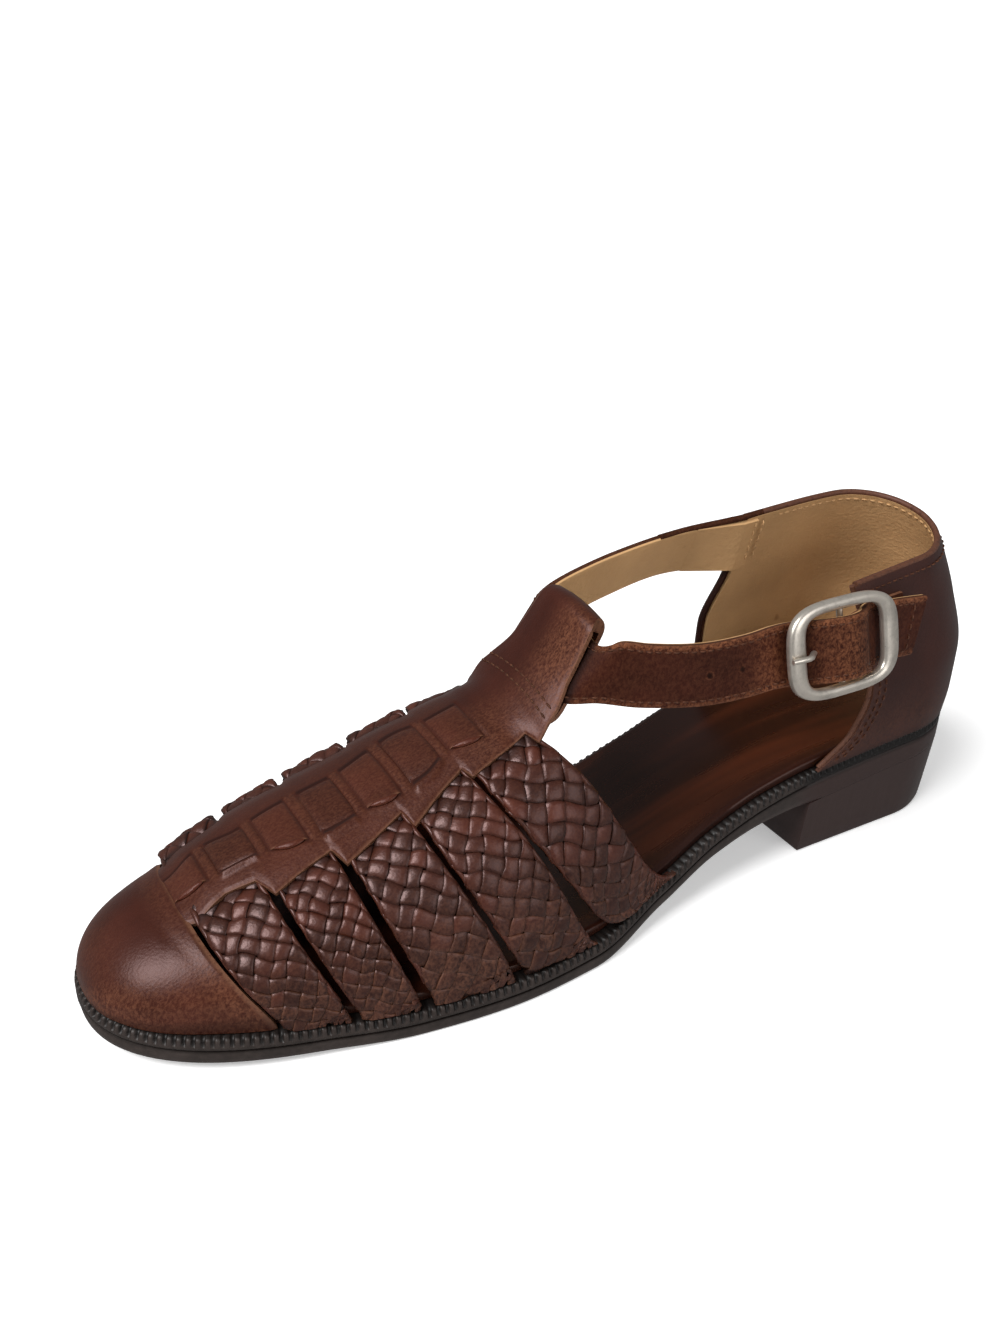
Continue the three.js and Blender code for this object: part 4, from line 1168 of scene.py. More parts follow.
class SANDAL_OT_vamp(bpy.types.Operator):
    """Build the toe cap, the slit spine with its T-bar loop, and the braided bands"""

    bl_idname = "sandal.vamp"
    bl_label = "Woven Front"

    def execute(self, context):
        sizes = context.scene.sandal_sizes
        self.smooth_leather(context)
        self.braid(context, sizes.braid_relief / METRE)
        return {"FINISHED"}

    def smooth_leather(self, context):
        made = Skin()
        self.toe_cap(made)
        self.spine(made)
        self.tiles(made)
        make(context, "cap_and_spine", made, "cap", "upper_leather", "vamp")

    def toe_cap(self, made):
        rows, columns = 70, 150
        angle = np.linspace(0, math.pi, columns)[None, :]
        rear = blend(CAP_REAR_TOP, CAP_REAR_FOOT, np.abs(1 - 2 * angle / math.pi) ** CAP_CURVE)
        share = np.sin(math.pi / 2 * np.linspace(0, 1, rows))[:, None]
        x = blend(rear, LAST_LENGTH, share)
        angle = np.broadcast_to(angle, x.shape)
        from_rear = x - rear
        rounding = 0.5 * (1 - smooth(from_rear, 0.0, 1.2))
        outer = skin(x, angle, LEATHER + cap_height(x, angle) - rounding)
        inner = skin(x, angle, 0.0)
        low = np.abs(np.cos(angle))
        raw = 0.85 * (1 - smooth(from_rear, 0.3, 1.3))
        wear = 0.5 * smooth(low, 0.55, 0.95) + 0.25 * hump(x, 259, 6) + 0.35 * hump(from_rear, 3, 3)
        # Painted shade along the cap's foot, where it meets the welt.
        shade = 0.5 * smooth(low, 0.985, 1.0)
        made.wall(outer, inner, marks_like(outer, raw, wear, 0.5, shade))

    def spine(self, made):
        front = np.linspace(SPINE_ROOT, TUNNEL_TOP, 330)
        turn = np.linspace(0, math.pi, 13)[1:-1]
        back = np.linspace(TUNNEL_TOP, LOOP_FOOT, 40)
        outer_high = float(spine_top(np.array(TUNNEL_TOP)))
        outer_low = -TUNNEL_HALF - LEATHER + SKIVE
        middle, half = (outer_high + outer_low) / 2, (outer_high - outer_low) / 2
        x = np.concatenate([front, TUNNEL_TOP - (TUNNEL_TOP - BAR_TOP) * np.sin(turn), back])
        sunk = smooth(LOOP_FOOT - back, 1, LOOP_FOOT - TUNNEL_FOOT)
        turned = blend(SPINE_LIFT + SKIVE, -TUNNEL_HALF, sunk)
        high = np.concatenate([spine_top(front), middle + half * np.cos(turn), turned - LEATHER + SKIVE])
        tunnel = 0.98 * TUNNEL_HALF * np.cos(turn)
        low = np.concatenate([spine_top(front) - LEATHER, tunnel, turned])
        inner_x = np.concatenate([front, np.full(len(turn), TUNNEL_TOP), back])
        narrow = blend(1.0, LOOP_WIDTH, smooth(turn, 0.2, 1.7))
        width = np.concatenate([np.ones(len(front)), narrow, np.full(len(back), LOOP_WIDTH)])
        across = np.linspace(1, -1, 61)
        grid_x, grid_across = np.broadcast_arrays(x[:, None], width[:, None] * across[None, :])
        y = ridge_across(grid_x) + grid_across * spine_reach(grid_x, grid_across)
        facing = np.concatenate([np.ones(len(front)), np.cos(turn).clip(0), np.zeros(len(back))])[:, None]
        relief = spine_relief(grid_x, y) * facing
        relief = relief + self.bar_creases(grid_x, y) * facing
        outer = spine_point(grid_x, grid_across, high[:, None] + relief)
        inner_x, low = (np.broadcast_to(part[:, None], y.shape) for part in (inner_x, low))
        inner = spine_point(inner_x, grid_across, low)
        marks = self.spine_marks(grid_x, y, facing, outer)
        # The spine's under face has a raw tint and a little painted shade.
        made.wall(outer, inner, marks, marks_like(inner, raw=0.3, shade=0.3))

    @staticmethod
    def bar_creases(x, y):
        """Soft troughs where the T-bar bends on to the instep."""
        trough = -0.2 * hump(x - 0.12 * y, 153.5, 2.2) - 0.15 * hump(x + 0.1 * y, 158.0, 1.8)
        sewn = -0.12 * hump(x, 145.9, 1.6)
        return trough + sewn

    @staticmethod
    def spine_marks(x, y, facing, points):
        aside = y - ridge_across(x)
        inset = spine_reach(x, aside) - np.abs(aside)
        raw = 0.6 * (1 - smooth(inset, 0.1, 0.6))
        rubbed = hump(x, 136, 12) * smooth(aside, -2, 10)
        rubbed = rubbed + 0.5 * hump(x, 158, 7) * smooth(aside, -4, 8)
        along, across, _ = tile_place(x, y)
        framed = smooth(np.abs(across), 1.0, 1.15) * smooth(x, 156, 165) * (x < 240)
        rubbed = rubbed + framed * (0.2 * smooth(aside, 0, 8) + 0.15)
        between = smooth(np.abs(along), 0.95, 1.15) * (1 - framed) * smooth(x, 160, 168) * (x < 240)
        rubbed = rubbed + 0.5 * between
        # Painted shade in the slits beside each tile.
        slit = smooth(1.1 - np.abs(across), 0.0, 0.1) * smooth(1.0 - np.abs(along), 0.0, 0.12)
        slit = slit * smooth(np.abs(across), 0.88, 0.97)
        wear = np.clip(rubbed, 0, 1)
        return marks_like(points, raw * facing, wear * facing, 0.45, 0.8 * slit * facing)

    def tiles(self, made):
        """The tiles between the spine's slits: every second one lies on top, the others tuck under."""
        along, across = np.meshgrid(np.linspace(-1, 1, 25), np.linspace(1, -1, 33), indexing="ij")
        for number, middle in enumerate(TILE_MIDDLES):
            tucked = number % 2 == 1
            x = middle - along * TILE_LENGTH / 2 * (1.02 if tucked else 0.97)
            lateral, medial = tile_lateral(x), tile_medial(x)
            aside = (lateral + medial) / 2 + across * (lateral - medial) / 2 * (1.04 if tucked else 0.99)
            dome = 0.45 * (1 - np.abs(across) ** 3) * (1 - np.abs(along) ** 4)
            ends = smooth(np.abs(along), 0.86, 1.0)
            if tucked:
                height = dome - 0.12 - 0.5 * np.abs(across) ** 10 - 0.1 * ends
            else:
                height = dome - 0.02 - 0.2 * ends - 0.3 * smooth(-across, 0.85, 1.0)
                height = height + 0.6 * smooth(across, 0.6, 1.0) * (1 - along**4)
            lift = spine_top(x) + height
            share = aside / spine_reach(x, aside)
            outer = spine_point(x, share, lift)
            inner = spine_point(x, share, lift - 1.1)
            # Painted shade at the ends of each tile and in the slits at its sides. Tucked tiles get a
            # darker tone and raised ones a lighter tone, painted shade and light for how deep they lie.
            if tucked:
                raw = 0.0
                shade = 0.85 * smooth(across, 0.92, 1.0) + 0.5 * smooth(-across, 0.93, 1.0) + 0.4 * ends
            else:
                raw = 0.9 * smooth(across, 0.93, 0.98) * (1 - ends)
                shade = 0.45 * ends + 0.5 * smooth(-across, 0.93, 1.0)
                self.lip(made, x[:, 0], tile_lateral(x[:, 0]))
            tone = 0.3 if tucked else 0.6
            marks = marks_like(outer, raw, 0.35, tone, np.clip(shade, 0, 1))
            made.wall(outer, inner, marks, raw=0.55 * (not tucked))

    @staticmethod
    def lip(made, x, aside):
        """The rounded end of a raised tile where it turns down into its slit. Its tone is set to the
        lightest, a painted highlight along the lip.
        """
        x, aside = x[3:-3], aside[3:-3]
        share = aside / spine_reach(x, aside)
        path = spine_point(x, share, spine_top(x) + 0.35)
        up = path - spine_point(x, share, spine_top(x) - 1)
        thick = 1.05 * np.sqrt(np.maximum(np.sin(np.linspace(0, math.pi, len(x))), 0.05))
        # Tone 1.0 is a painted highlight.
        rod(made, path, thick, sides=10, flat=0.7, across=up[len(x) // 2], mark=(0.0, 0.25, 1.0, 0.0))

    def braid(self, context, relief):
        rng = np.random.default_rng(SEED)
        strips = Skin()
        backing = Skin()
        for row in BANDS:
            for side in (1, -1):
                self.band(strips, row, side, relief, rng)
                self.band_backing(backing, row, side)
        for name, made in (("braid_strips", strips), ("braid_backing", backing)):
            make(context, name, made, "braid", "upper_leather", "vamp", sharp=50)

    @staticmethod
    def band_backing(made, row, side):
        """The plain leather under a band's strips, painted near black as the shade beneath them."""
        ways = np.linspace(0, 1, 40), np.linspace(0.06, 0.94, 10)
        x, angle = band_place(row, side, *np.meshgrid(*ways, indexing="ij"))
        outer = skin(x, angle, 1.1)
        inner = skin(x, angle, 0.0)
        made.wall(outer, inner, marks_like(outer, shade=0.9), marks_like(inner, shade=0.2), raw=0.0)

    def band(self, made, row, side, relief, rng):
        """One braided band as strips that pass over and under each other and fold back at its edges."""
        lay = BraidMap(row, side, rng)
        s = np.linspace(-1, 1, 13)[:, None]
        t = np.array(STRIP_WAYS)[None, :] * 0.95
        down = np.zeros_like(t)
        down[:, [0, -1]] = 1
        s, t, down = np.broadcast_arrays(s, t, down)
        tones = {}
        for line in range(BRAID_ROWS):
            m = line - (BRAID_ROWS - 1) / 2
            lean = 1 if line % 2 == 0 else -1
            for k in range(-2, lay.count + 3):
                middle = k + 0.5 * (line % 2)
                if not -0.03 < lay.along(middle, m) < 1.03:
                    continue
                strip = (lean, round(2 * middle - lean * line))
                tones.setdefault(strip, rng.uniform(0.2, 0.8))
                turn = rng.normal(0, 0.03)
                tip = rng.normal(0, 0.2, 2)
                a = middle + 0.5 * s + 0.5 * t + turn * (s - t)
                b = m + lean * (s - t) + turn * s
                past = np.clip(np.abs(b) - BRAID_EDGE, 0, None)
                b = np.where(past > 0, np.sign(b) * (BRAID_EDGE - 0.2 * past), b)
                x, angle, along = lay.place(a, b)
                swell = relief * rng.uniform(0.7, 1.2) * blend(1.0, 0.6, smooth(along, 0.45, 0.95))
                wave = np.cos(math.pi * s * 0.96)
                bare = place_beside_spine(x, angle)
                lift = BRAID_LIFT + swell * (np.sign(wave) * np.abs(wave) ** 0.32 * 0.47 + 0.12)
                lift = lift - 0.8 * (1 - smooth(bare, 0.5, 4.0)) + 1.5 * (side < 0) * hump(bare, 4.5, 3.0)
                lift = lift - 0.4 * relief * np.abs(2 * t) ** 8 - 0.9 * down
                lift = lift + tip[0] * s * (np.abs(s) < 0.6) + tip[1] * t
                lift = lift - 0.8 * smooth(past, 0.0, 0.35)
                lift = lift - 0.35 * smooth(np.abs(b), BRAID_EDGE - 0.35, BRAID_EDGE)
                points = skin(x, angle, np.maximum(lift, 0.4))
                rim = smooth(np.abs(t), 0.4, 0.47)
                frayed = smooth(along, 0.5, 0.95)
                raw = rim * blend(0.0, 0.45, frayed) * (1 - down)
                # Painted shade: strips darken where they dive under their neighbours, at their turned-down
                # ends, at the folded edges, along their sides, and beside the spine's edge, where the spine
                # casts shade.
                shade = 0.9 * smooth(np.abs(s), 0.45, 0.66) + 0.9 * down + 0.5 * smooth(past, 0, 0.3)
                shade = shade + 0.75 * rim * (1 - frayed) + 0.8 * (1 - smooth(bare, 0.4, 2.4))
                wear = 0.2 + 0.6 * smooth(along, 0.5, 1.0) * rng.uniform(0, 1)
                tone = tones[strip] + rng.uniform(-0.25, 0.25) - 0.3 * smooth(along, 0.35, 0.85)
                tone = tone - 0.25 * (1 - smooth(x, 110, 165))
                marks = marks_like(points, raw, wear, tone, np.clip(shade, 0, 1))
                made.grid(points, marks, flip=side < 0)
        self.folds(made, lay, rng)

    @staticmethod
    def folds(made, lay, rng):
        """The small round folds along a band's two edges."""
        way = np.linspace(-0.62, 0.62, 9)
        for rim in (-1, 1):
            for k in range(-1, lay.count + 2):
                middle = k + 0.5 + 0.5 * (rim > 0)
                if not 0.05 < lay.along(middle, rim * BRAID_EDGE) < 0.93:
                    continue
                x, angle, _ = lay.place(middle + way, rim * (BRAID_EDGE - 0.16 + 0.5 * way**2))
                path = skin(x, angle, BRAID_LIFT - 0.25 - 1.6 * way**2)
                thick = rng.uniform(0.5, 0.75) * np.sqrt(np.maximum(1 - (way / 0.66) ** 2, 0.02))
                tone = rng.uniform(0.25, 0.7)
                up = path - skin(x, angle, 0.0)
                # The folds carry a little painted shade.
                rod(made, path, thick, sides=8, across=up[4], mark=(0, 0.3, tone, 0.1))


# Counter

COUNTER_DENTS = table(
    "depth turn turn_spread share share_spread",
    (0.5, 0.55, 0.12, 0.86, 0.1),
    (0.4, -0.3, 0.2, 0.75, 0.12),
)
LINING_OUTER = 0.85
LINING_INSET = (0.985, 0.992)  # shares of the counter's turn and height
BINDING_RADIUS = 0.95
FRONT_BINDING_RADIUS = 0.8


class SANDAL_OT_counter(bpy.types.Operator):
    """Build the closed counter with its lining and bound edges"""

    bl_idname = "sandal.counter"
    bl_label = "Counter"

    def execute(self, context):
        turn, share = np.meshgrid(np.linspace(1, -1, 150), np.linspace(0, 1, 60))
        self.leather(context, turn, share)
        self.lining(context, turn, share)
        return {"FINISHED"}

    def leather(self, context, turn, share):
        made = Skin()
        lift = COUNTER_WALL - 0.25 * smooth(share, 0.97, 1.0) + self.dents(turn, share)
        outer = counter_point(turn, share, lift)
        inner = counter_point(turn, share, 0.9)
        # Painted shade along the counter's foot, where it meets the welt.
        foot = smooth(0.03 - share, 0.0, 0.03)
        wear = 0.25 * hump(share, 0.1, 0.15) + 0.3 * smooth(np.abs(turn), 0.9, 1.0)
        made.wall(outer, inner, marks_like(outer, wear=wear, shade=0.6 * foot), raw=0.3)
        self.binding(made)
        make(context, "counter_leather", made, "counter", "upper_leather", "counter")

    @staticmethod
    def lining(context, turn, share):
        made = Skin()
        place = turn * LINING_INSET[0], share * LINING_INSET[1]
        outer = counter_point(*place, LINING_OUTER)
        inner = counter_point(*place, 0.0)
        # Painted shade: the lining is darker towards its foot and on the inner front side.
        low = 0.5 * smooth(0.1 - share, 0.0, 0.1)
        low = low + 0.12 * smooth(-turn, -0.2, 0.8) * smooth(0.9 - share, 0, 0.5)
        stain = 0.8 * hump(turn, 0.35, 0.03) * hump(share, 0.55, 0.03)
        made.wall(outer, inner, None, marks_like(inner, wear=stain, shade=low), raw=0.0)
        make(context, "counter_lining", made, "lining", "upper_leather", "counter")

    @staticmethod
    def dents(turn, share):
        """Soft dents where the heel grip has been pressed."""
        lift = 0.0
        for row in COUNTER_DENTS:
            around = hump(turn, row["turn"], row["turn_spread"])
            lift = lift - row["depth"] * around * hump(share, row["share"], row["share_spread"])
        return lift

    @staticmethod
    def binding(made):
        """The bound edge along the collar and the front edges."""
        rise = np.linspace(0.01, 1, 60)
        over = np.linspace(1, -1, 160)[1:-1]
        under_strap = rise[rise < 0.72]
        line = counter_point(over, 1.0, 1.15)
        rod(made, line, BINDING_RADIUS, sides=12, mark=(0.3, 0.6, 0.5, 0.0))
        # Painted shade: the outer front binding is a little darker, and the inner front binding under the
        # strap much darker.
        line = counter_point(1.0, rise, 1.1)
        rod(made, line, FRONT_BINDING_RADIUS, sides=12, mark=(0.45, 0.5, 0.4, 0.1))
        line = counter_point(-1.0, under_strap, 1.15)
        rod(made, line, BINDING_RADIUS, sides=12, mark=(0.0, 0.1, 0.2, 0.45))


# Ankle strap

HOLES = (108.0, 98.6)  # stations of the free punched holes
# The dark column is painted shade: the holes are not cut, their depth is painted.
HOLE_RINGS = table(
    "radius height dark",
    (0.02, 0.05, 0.95),
    (0.4, 0.05, 0.9),
    (0.6, 0.05, 0.7),
    (0.85, 0.1, 0.3),
    (1.3, -0.02, 0.0),
)
STRAP_HALF = STRAP_THICKNESS / 2
STRAP_LENGTH = 262.0
LAP_TURN = -0.945
LAP_END = 52.0
LAP_START = 0.03  # share of the strap at which its root begins
COVER_TURN = -0.97
# Lifts off the strap's middle and off the counter's inner face, for a layer's two faces.
COVER_LIFTS = ((STRAP_HALF - 0.1, COUNTER_WALL + 0.45), (0.2, COUNTER_WALL - 0.6))
LINING_LIFTS = ((STRAP_HALF - 0.7, 0.4), (-STRAP_HALF - 0.03, -0.9))


class SANDAL_OT_strap(bpy.types.Operator):
    """Build the ankle strap with its lining, punched holes and slanted tip"""

    bl_idname = "sandal.strap"
    bl_label = "Ankle Strap"

    def execute(self, context):
        shares = even_shares(strap_middle, 0.6)
        share, across = np.meshgrid(shares, np.linspace(1, -1, 31), indexing="ij")
        border = smooth(1 - np.abs(across), 0.0, 0.09)
        pillow = -0.45 * (1 - border) - 0.18 * hump(np.abs(across), 0.8, 0.035)
        outer = strap_point(share, across, STRAP_HALF + pillow)
        middle = strap_point(share, across * 0.995, STRAP_LINING - STRAP_HALF)
        inner = strap_point(share, across * 0.985, -STRAP_HALF + 0.2 * (1 - border))
        raw = 0.35 * (1 - smooth(1 - np.abs(across), 0.02, 0.07))
        made = Skin()
        marks = marks_like(outer, raw, self.wear(outer, across), 0.5, self.shade(outer))
        made.wall(outer, middle, marks, raw=0.3)
        self.holes(made)
        self.root_edge(made)
        self.lap(made, COVER_LIFTS, COVER_TURN)
        make(context, "strap_leather", made, "strap", "upper_leather", "ankle_strap")
        made = Skin()
        made.wall(middle, inner, raw=0.2)
        self.lap(made, LINING_LIFTS, LAP_TURN)
        make(context, "strap_lining", made, "lining", "upper_leather", "ankle_strap")
        return {"FINISHED"}

    @staticmethod
    def root_edge(made):
        """The upper edge of the strap's root, where it runs on to the collar."""
        free = strap_point(np.array([0.06, 0.035]), 0.97, 0.0)
        sewn = counter_point(np.array([-0.99, -0.955, -0.92]), 1.0, np.array([0.9, 1.1, 1.15]))
        path = spline(np.concatenate([free, sewn]))(np.linspace(0, 1, 40))
        # The edge carries a little painted shade.
        rod(made, path, BINDING_RADIUS, sides=12, mark=(0.1, 0.3, 0.4, 0.2))

    @staticmethod
    def lap(made, layers, end_turn):
        """The strap's root on one side of the counter's wall, up to a turn of the counter."""
        up = np.linspace(1, -1, 25)
        way = np.linspace(0, 1, 8)[:, None, None]
        foot = feather_height(LAP_END) + GAP
        faces = []
        for on_strap, on_wall in layers:
            start = strap_point(LAP_START, up * 0.985, on_strap)
            share = np.minimum((start[:, 2] - foot) / (collar_height(LAP_TURN) - foot), 0.985)
            brink, end = (counter_point(turn, share, on_wall) for turn in (-1.0, end_turn))
            faces.append(np.concatenate([blend(start, brink, way), blend(brink, end, way)[1:]]))
        made.wall(faces[0], faces[1], raw=0.2)

    @staticmethod
    def holes(made):
        """Punched holes as flat discs painted dark with a pressed rim: the dark is painted shade for each
        hole's depth.
        """
        turn = np.linspace(0, 2 * math.pi, 20, endpoint=False)
        rings = np.array([list(row.values()) for row in HOLE_RINGS])
        radius, height, dark = (part[:, None] for part in rings.T)
        shares = even_shares(strap_middle, 0.5)
        line = strap_middle(shares)
        for station in HOLES:
            share = np.interp(-station, -line[line[:, 1] > 10, 0], shares[line[:, 1] > 10])
            run = radius * np.cos(turn) / STRAP_LENGTH
            up = radius * np.sin(turn) / (STRAP_WIDTH / 2)
            points = strap_point(share + run, up, STRAP_HALF + height)
            made.grid(points, marks_like(points, wear=0.4, shade=dark), loop=True, flip=True)

    @staticmethod
    def shade(points):
        """The deep shadow where the strap comes out of the T-bar."""
        x, y = points[..., 0], points[..., 1]
        clear = y - ridge_across(x) - spine_reach(x, np.ones_like(x))
        return 0.95 * (1 - smooth(clear, 0.4, 2.8)) * smooth(x, 124, 128) * (y > 0)

    @staticmethod
    def wear(points, across):
        """Rubbed leather at the buckle, behind its frame and along the edges, on the outer side."""
        x, y = points[..., 0], points[..., 1]
        outer_side = y > 0
        buckle = 0.5 * hump(x, BUCKLE_X, 9) + 0.45 * hump(x, BUCKLE_X + 22, 5)
        edges = 0.5 * smooth(np.abs(across), 0.7, 0.95) + 0.5 * smooth(across, 0.8, 0.9)
        return np.clip((buckle + edges) * outer_side + 0.15, 0, 1)


# Buckle


def frame_point(outline, angle, y):
    """A point of the upright frame: half its length, half its height and how square it is."""
    along, up, square = outline

    def power(value):
        return np.sign(value) * np.abs(value) ** (2 / square)

    x = BUCKLE_X + along * power(np.cos(angle))
    z = BUCKLE_Z + up * power(np.sin(angle))
    return np.stack(np.broadcast_arrays(x, y, z), -1)


def round_centre_bar(angle, radius):
    x = BUCKLE_X + radius * np.cos(angle)
    return np.stack(np.broadcast_arrays(x, CENTRE_BAR_Y + radius * np.sin(angle), BUCKLE_Z), -1)


def on_counter(x, z, lift):
    """A point over the counter's outer face at a station and a height."""
    share = (z - feather_height(x)) / (collar_height(1.0) - feather_height(x))
    turn = np.arccos(1 - x / lateral_front(share)) / (math.pi / 2)
    point = counter_point(turn, share, COUNTER_WALL + lift)
    point[..., 2] = z
    return point


class SANDAL_OT_buckle(bpy.types.Operator):
    """Build the buckle's frame, its prong and the chape that holds it"""

    bl_idname = "sandal.buckle"
    bl_label = "Buckle"

    def execute(self, context):
        self.frame(context)
        self.prong(context)
        self.chape(context)
        return {"FINISHED"}

    def frame(self, context):
        made = Skin()
        angle = np.linspace(0, 2 * math.pi, 200, endpoint=False)
        angle = angle - 0.18 * np.sin(4 * angle)
        inner = frame_point(BUCKLE_INNER, angle, 0.0)
        outer = frame_point(BUCKLE_OUTER, angle, 0.0)
        rings = []
        for turn in np.linspace(0, 2 * math.pi, 28, endpoint=False):
            ring = blend(inner, outer, 0.5 - 0.5 * math.cos(turn))
            rise = math.sin(turn)
            height = 0.4 + 0.6 * rise**0.6 if rise > 0 else 0.4 * (1 - abs(rise) ** 0.5)
            ring[:, 1] = BUCKLE_BACK + BUCKLE_THICKNESS * height
            rings.append(leaned(ring))
        made.grid(np.stack(rings + rings[:1]), loop=True)
        reach = (BUCKLE_INNER[1] + BUCKLE_OUTER[1]) / 2
        ends = [(BUCKLE_X, CENTRE_BAR_Y, BUCKLE_Z + up) for up in np.linspace(-reach, reach, 5)]
        rod(made, leaned(ends), CENTRE_BAR_RADIUS, 16, across=(1, 0, 0))
        make(context, "buckle_frame_worn", made, "nickel", "buckle_metal", "buckle_frame", sharp=60)

    def prong(self, context):
        hook = CENTRE_BAR_RADIUS + GAP + PRONG_RADIUS
        bend = round_centre_bar(np.radians([205, 235, 270, 305]), hook)
        seat = BUCKLE_BACK + BUCKLE_THICKNESS + GAP + PRONG_RADIUS
        front = BUCKLE_X + (BUCKLE_INNER[0] + BUCKLE_OUTER[0]) / 2
        shaft = (
            (BUCKLE_X + 5.5, CENTRE_BAR_Y - 1, BUCKLE_Z),
            (BUCKLE_X + 10.5, CENTRE_BAR_Y + 1.2, BUCKLE_Z),
            (front - 2.5, seat, BUCKLE_Z),
            (front, seat + 0.2, BUCKLE_Z),
            (front + 3.4, seat - 0.2, BUCKLE_Z),
        )
        shares = np.linspace(0, 1, 60)
        path = leaned(spline(np.vstack([bend, shaft]))(shares))
        made = Skin()
        rod(made, path, PRONG_RADIUS * (1 - 0.1 * smooth(shares, 0.9, 1.0)), 14)
        make(context, "buckle_prong_worn", made, "nickel", "buckle_metal", "buckle_prong", sharp=60)

    def chape(self, context):
        seat_x = np.linspace(39, 49, 8)
        turns = np.radians(np.linspace(-110, 205, 30))
        middle = CENTRE_BAR_RADIUS + GAP + CHAPE_THICKNESS / 2
        made = Skin()

        def strip(low, high, turned):
            faces = []
            for half in (CHAPE_THICKNESS / 2, -CHAPE_THICKNESS / 2):
                columns = []
                for up in np.linspace(low, high, 8):
                    height = np.full_like(seat_x, BUCKLE_Z + up)
                    line = on_counter(seat_x, height, GAP + CHAPE_THICKNESS / 2 + half)
                    if turned:
                        bend = round_centre_bar(turns, middle - half)
                        bend[:, 2] = BUCKLE_Z + up
                        line = np.vstack([line, leaned(bend)])
                    columns.append(line)
                faces.append(np.stack(columns, 1))
            made.wall(faces[0], faces[1], marks_like(faces[0], wear=0.3), raw=0.8)

        strip(-CHAPE_HALF, -CHAPE_SLOT, True)
        strip(CHAPE_SLOT, CHAPE_TOP, True)
        strip(-CHAPE_SLOT, CHAPE_SLOT, False)
        make(context, "chape_leather", made, "strap", "upper_leather", "chape")


# Stitches

STRAP_SEAM = 0.8  # share of the strap's half width
STRAP_SEAM_END = 0.985


class SANDAL_OT_stitches(bpy.types.Operator):
    """Sew the strap, the T-bar loop and the counter's edges"""

    bl_idname = "sandal.stitches"
    bl_label = "Stitches"

    def execute(self, context):
        pitch = context.scene.sandal_sizes.stitch_pitch / METRE
        made = Skin()
        self.strap(made, pitch)
        self.bar(made, pitch)
        self.counter(made, pitch)
        make(context, "stitches", made, "thread", "upper_leather", sharp=60)
        made = Skin()
        self.lap(made, pitch)
        make(context, "lining_stitches", made, "pale_thread", "upper_leather", sharp=60)
        return {"FINISHED"}

    @staticmethod
    def strap(made, pitch):
        shares = even_shares(strap_middle, 0.5, 0.0, STRAP_SEAM_END)
        for up in (STRAP_SEAM, -STRAP_SEAM):
            seam(made, lambda lift: strap_point(shares, up, lift), STRAP_HALF - 0.16, 0.0, pitch)
        across = np.linspace(STRAP_SEAM, -STRAP_SEAM, 30)
        seam(made, lambda lift: strap_point(STRAP_SEAM_END, across, lift), STRAP_HALF, 0.0, pitch)

    @staticmethod
    def lap(made, pitch):
        """The double seam of the strap's root and the collar's seam, as seen on the lining."""
        rise = np.linspace(0.74, 0.97, 30)
        for turn in (LAP_TURN - 0.01, LAP_TURN + 0.02):
            seam(made, lambda lift: counter_point(turn, rise, lift), -1.0, 0.5, pitch)
        over = np.linspace(0.7, -0.86, 200)
        seam(made, lambda lift: counter_point(over, 0.965, lift), 0.0, 1.0, pitch)

    @staticmethod
    def bar(made, pitch):
        across = np.linspace(0.94, -0.94, 60)
        for x in (144.8, 147.0):
            station = np.full_like(across, x)
            top = spine_top(station)
            seam(made, lambda lift: spine_point(station, across, top + lift), 0.0, -1.0, pitch)

    @staticmethod
    def counter(made, pitch):
        over = np.linspace(0.95, -0.95, 200)
        seam(made, lambda lift: counter_point(over, 0.955, lift), COUNTER_WALL, 1.2, pitch)
        rise = np.linspace(0.03, 0.95, 80)
        for turn in (0.968, 0.938, -0.95):
            seam(made, lambda lift: counter_point(turn, rise, lift), COUNTER_WALL, 1.0, pitch)


# Studio

CAMERA_PLACE = (170.8, 242.6, 225.7)
CAMERA_AZIMUTH = 148.8
CAMERA_ELEVATION = 28.45
CAMERA_ROLL = 2.2
CAMERA_LENS = 35.19
FLOOR_REACH = 40.0
FLOOR_GLOW = 0.38
WORLD_GLOW = 0.25
SKY_STRENGTH = 3.6
SKY_SPREAD = math.radians(34)
SKY_TURN = (math.radians(-4), math.radians(38), 0)
SIDE_LAMP_PLACE = Vector((-0.3, 0.8, 0.45))
SIDE_LAMP_AIM = Vector((0, 0, 0.03))
SIDE_LAMP_POWER = 2.0
SIDE_LAMP_SIZE = 0.6


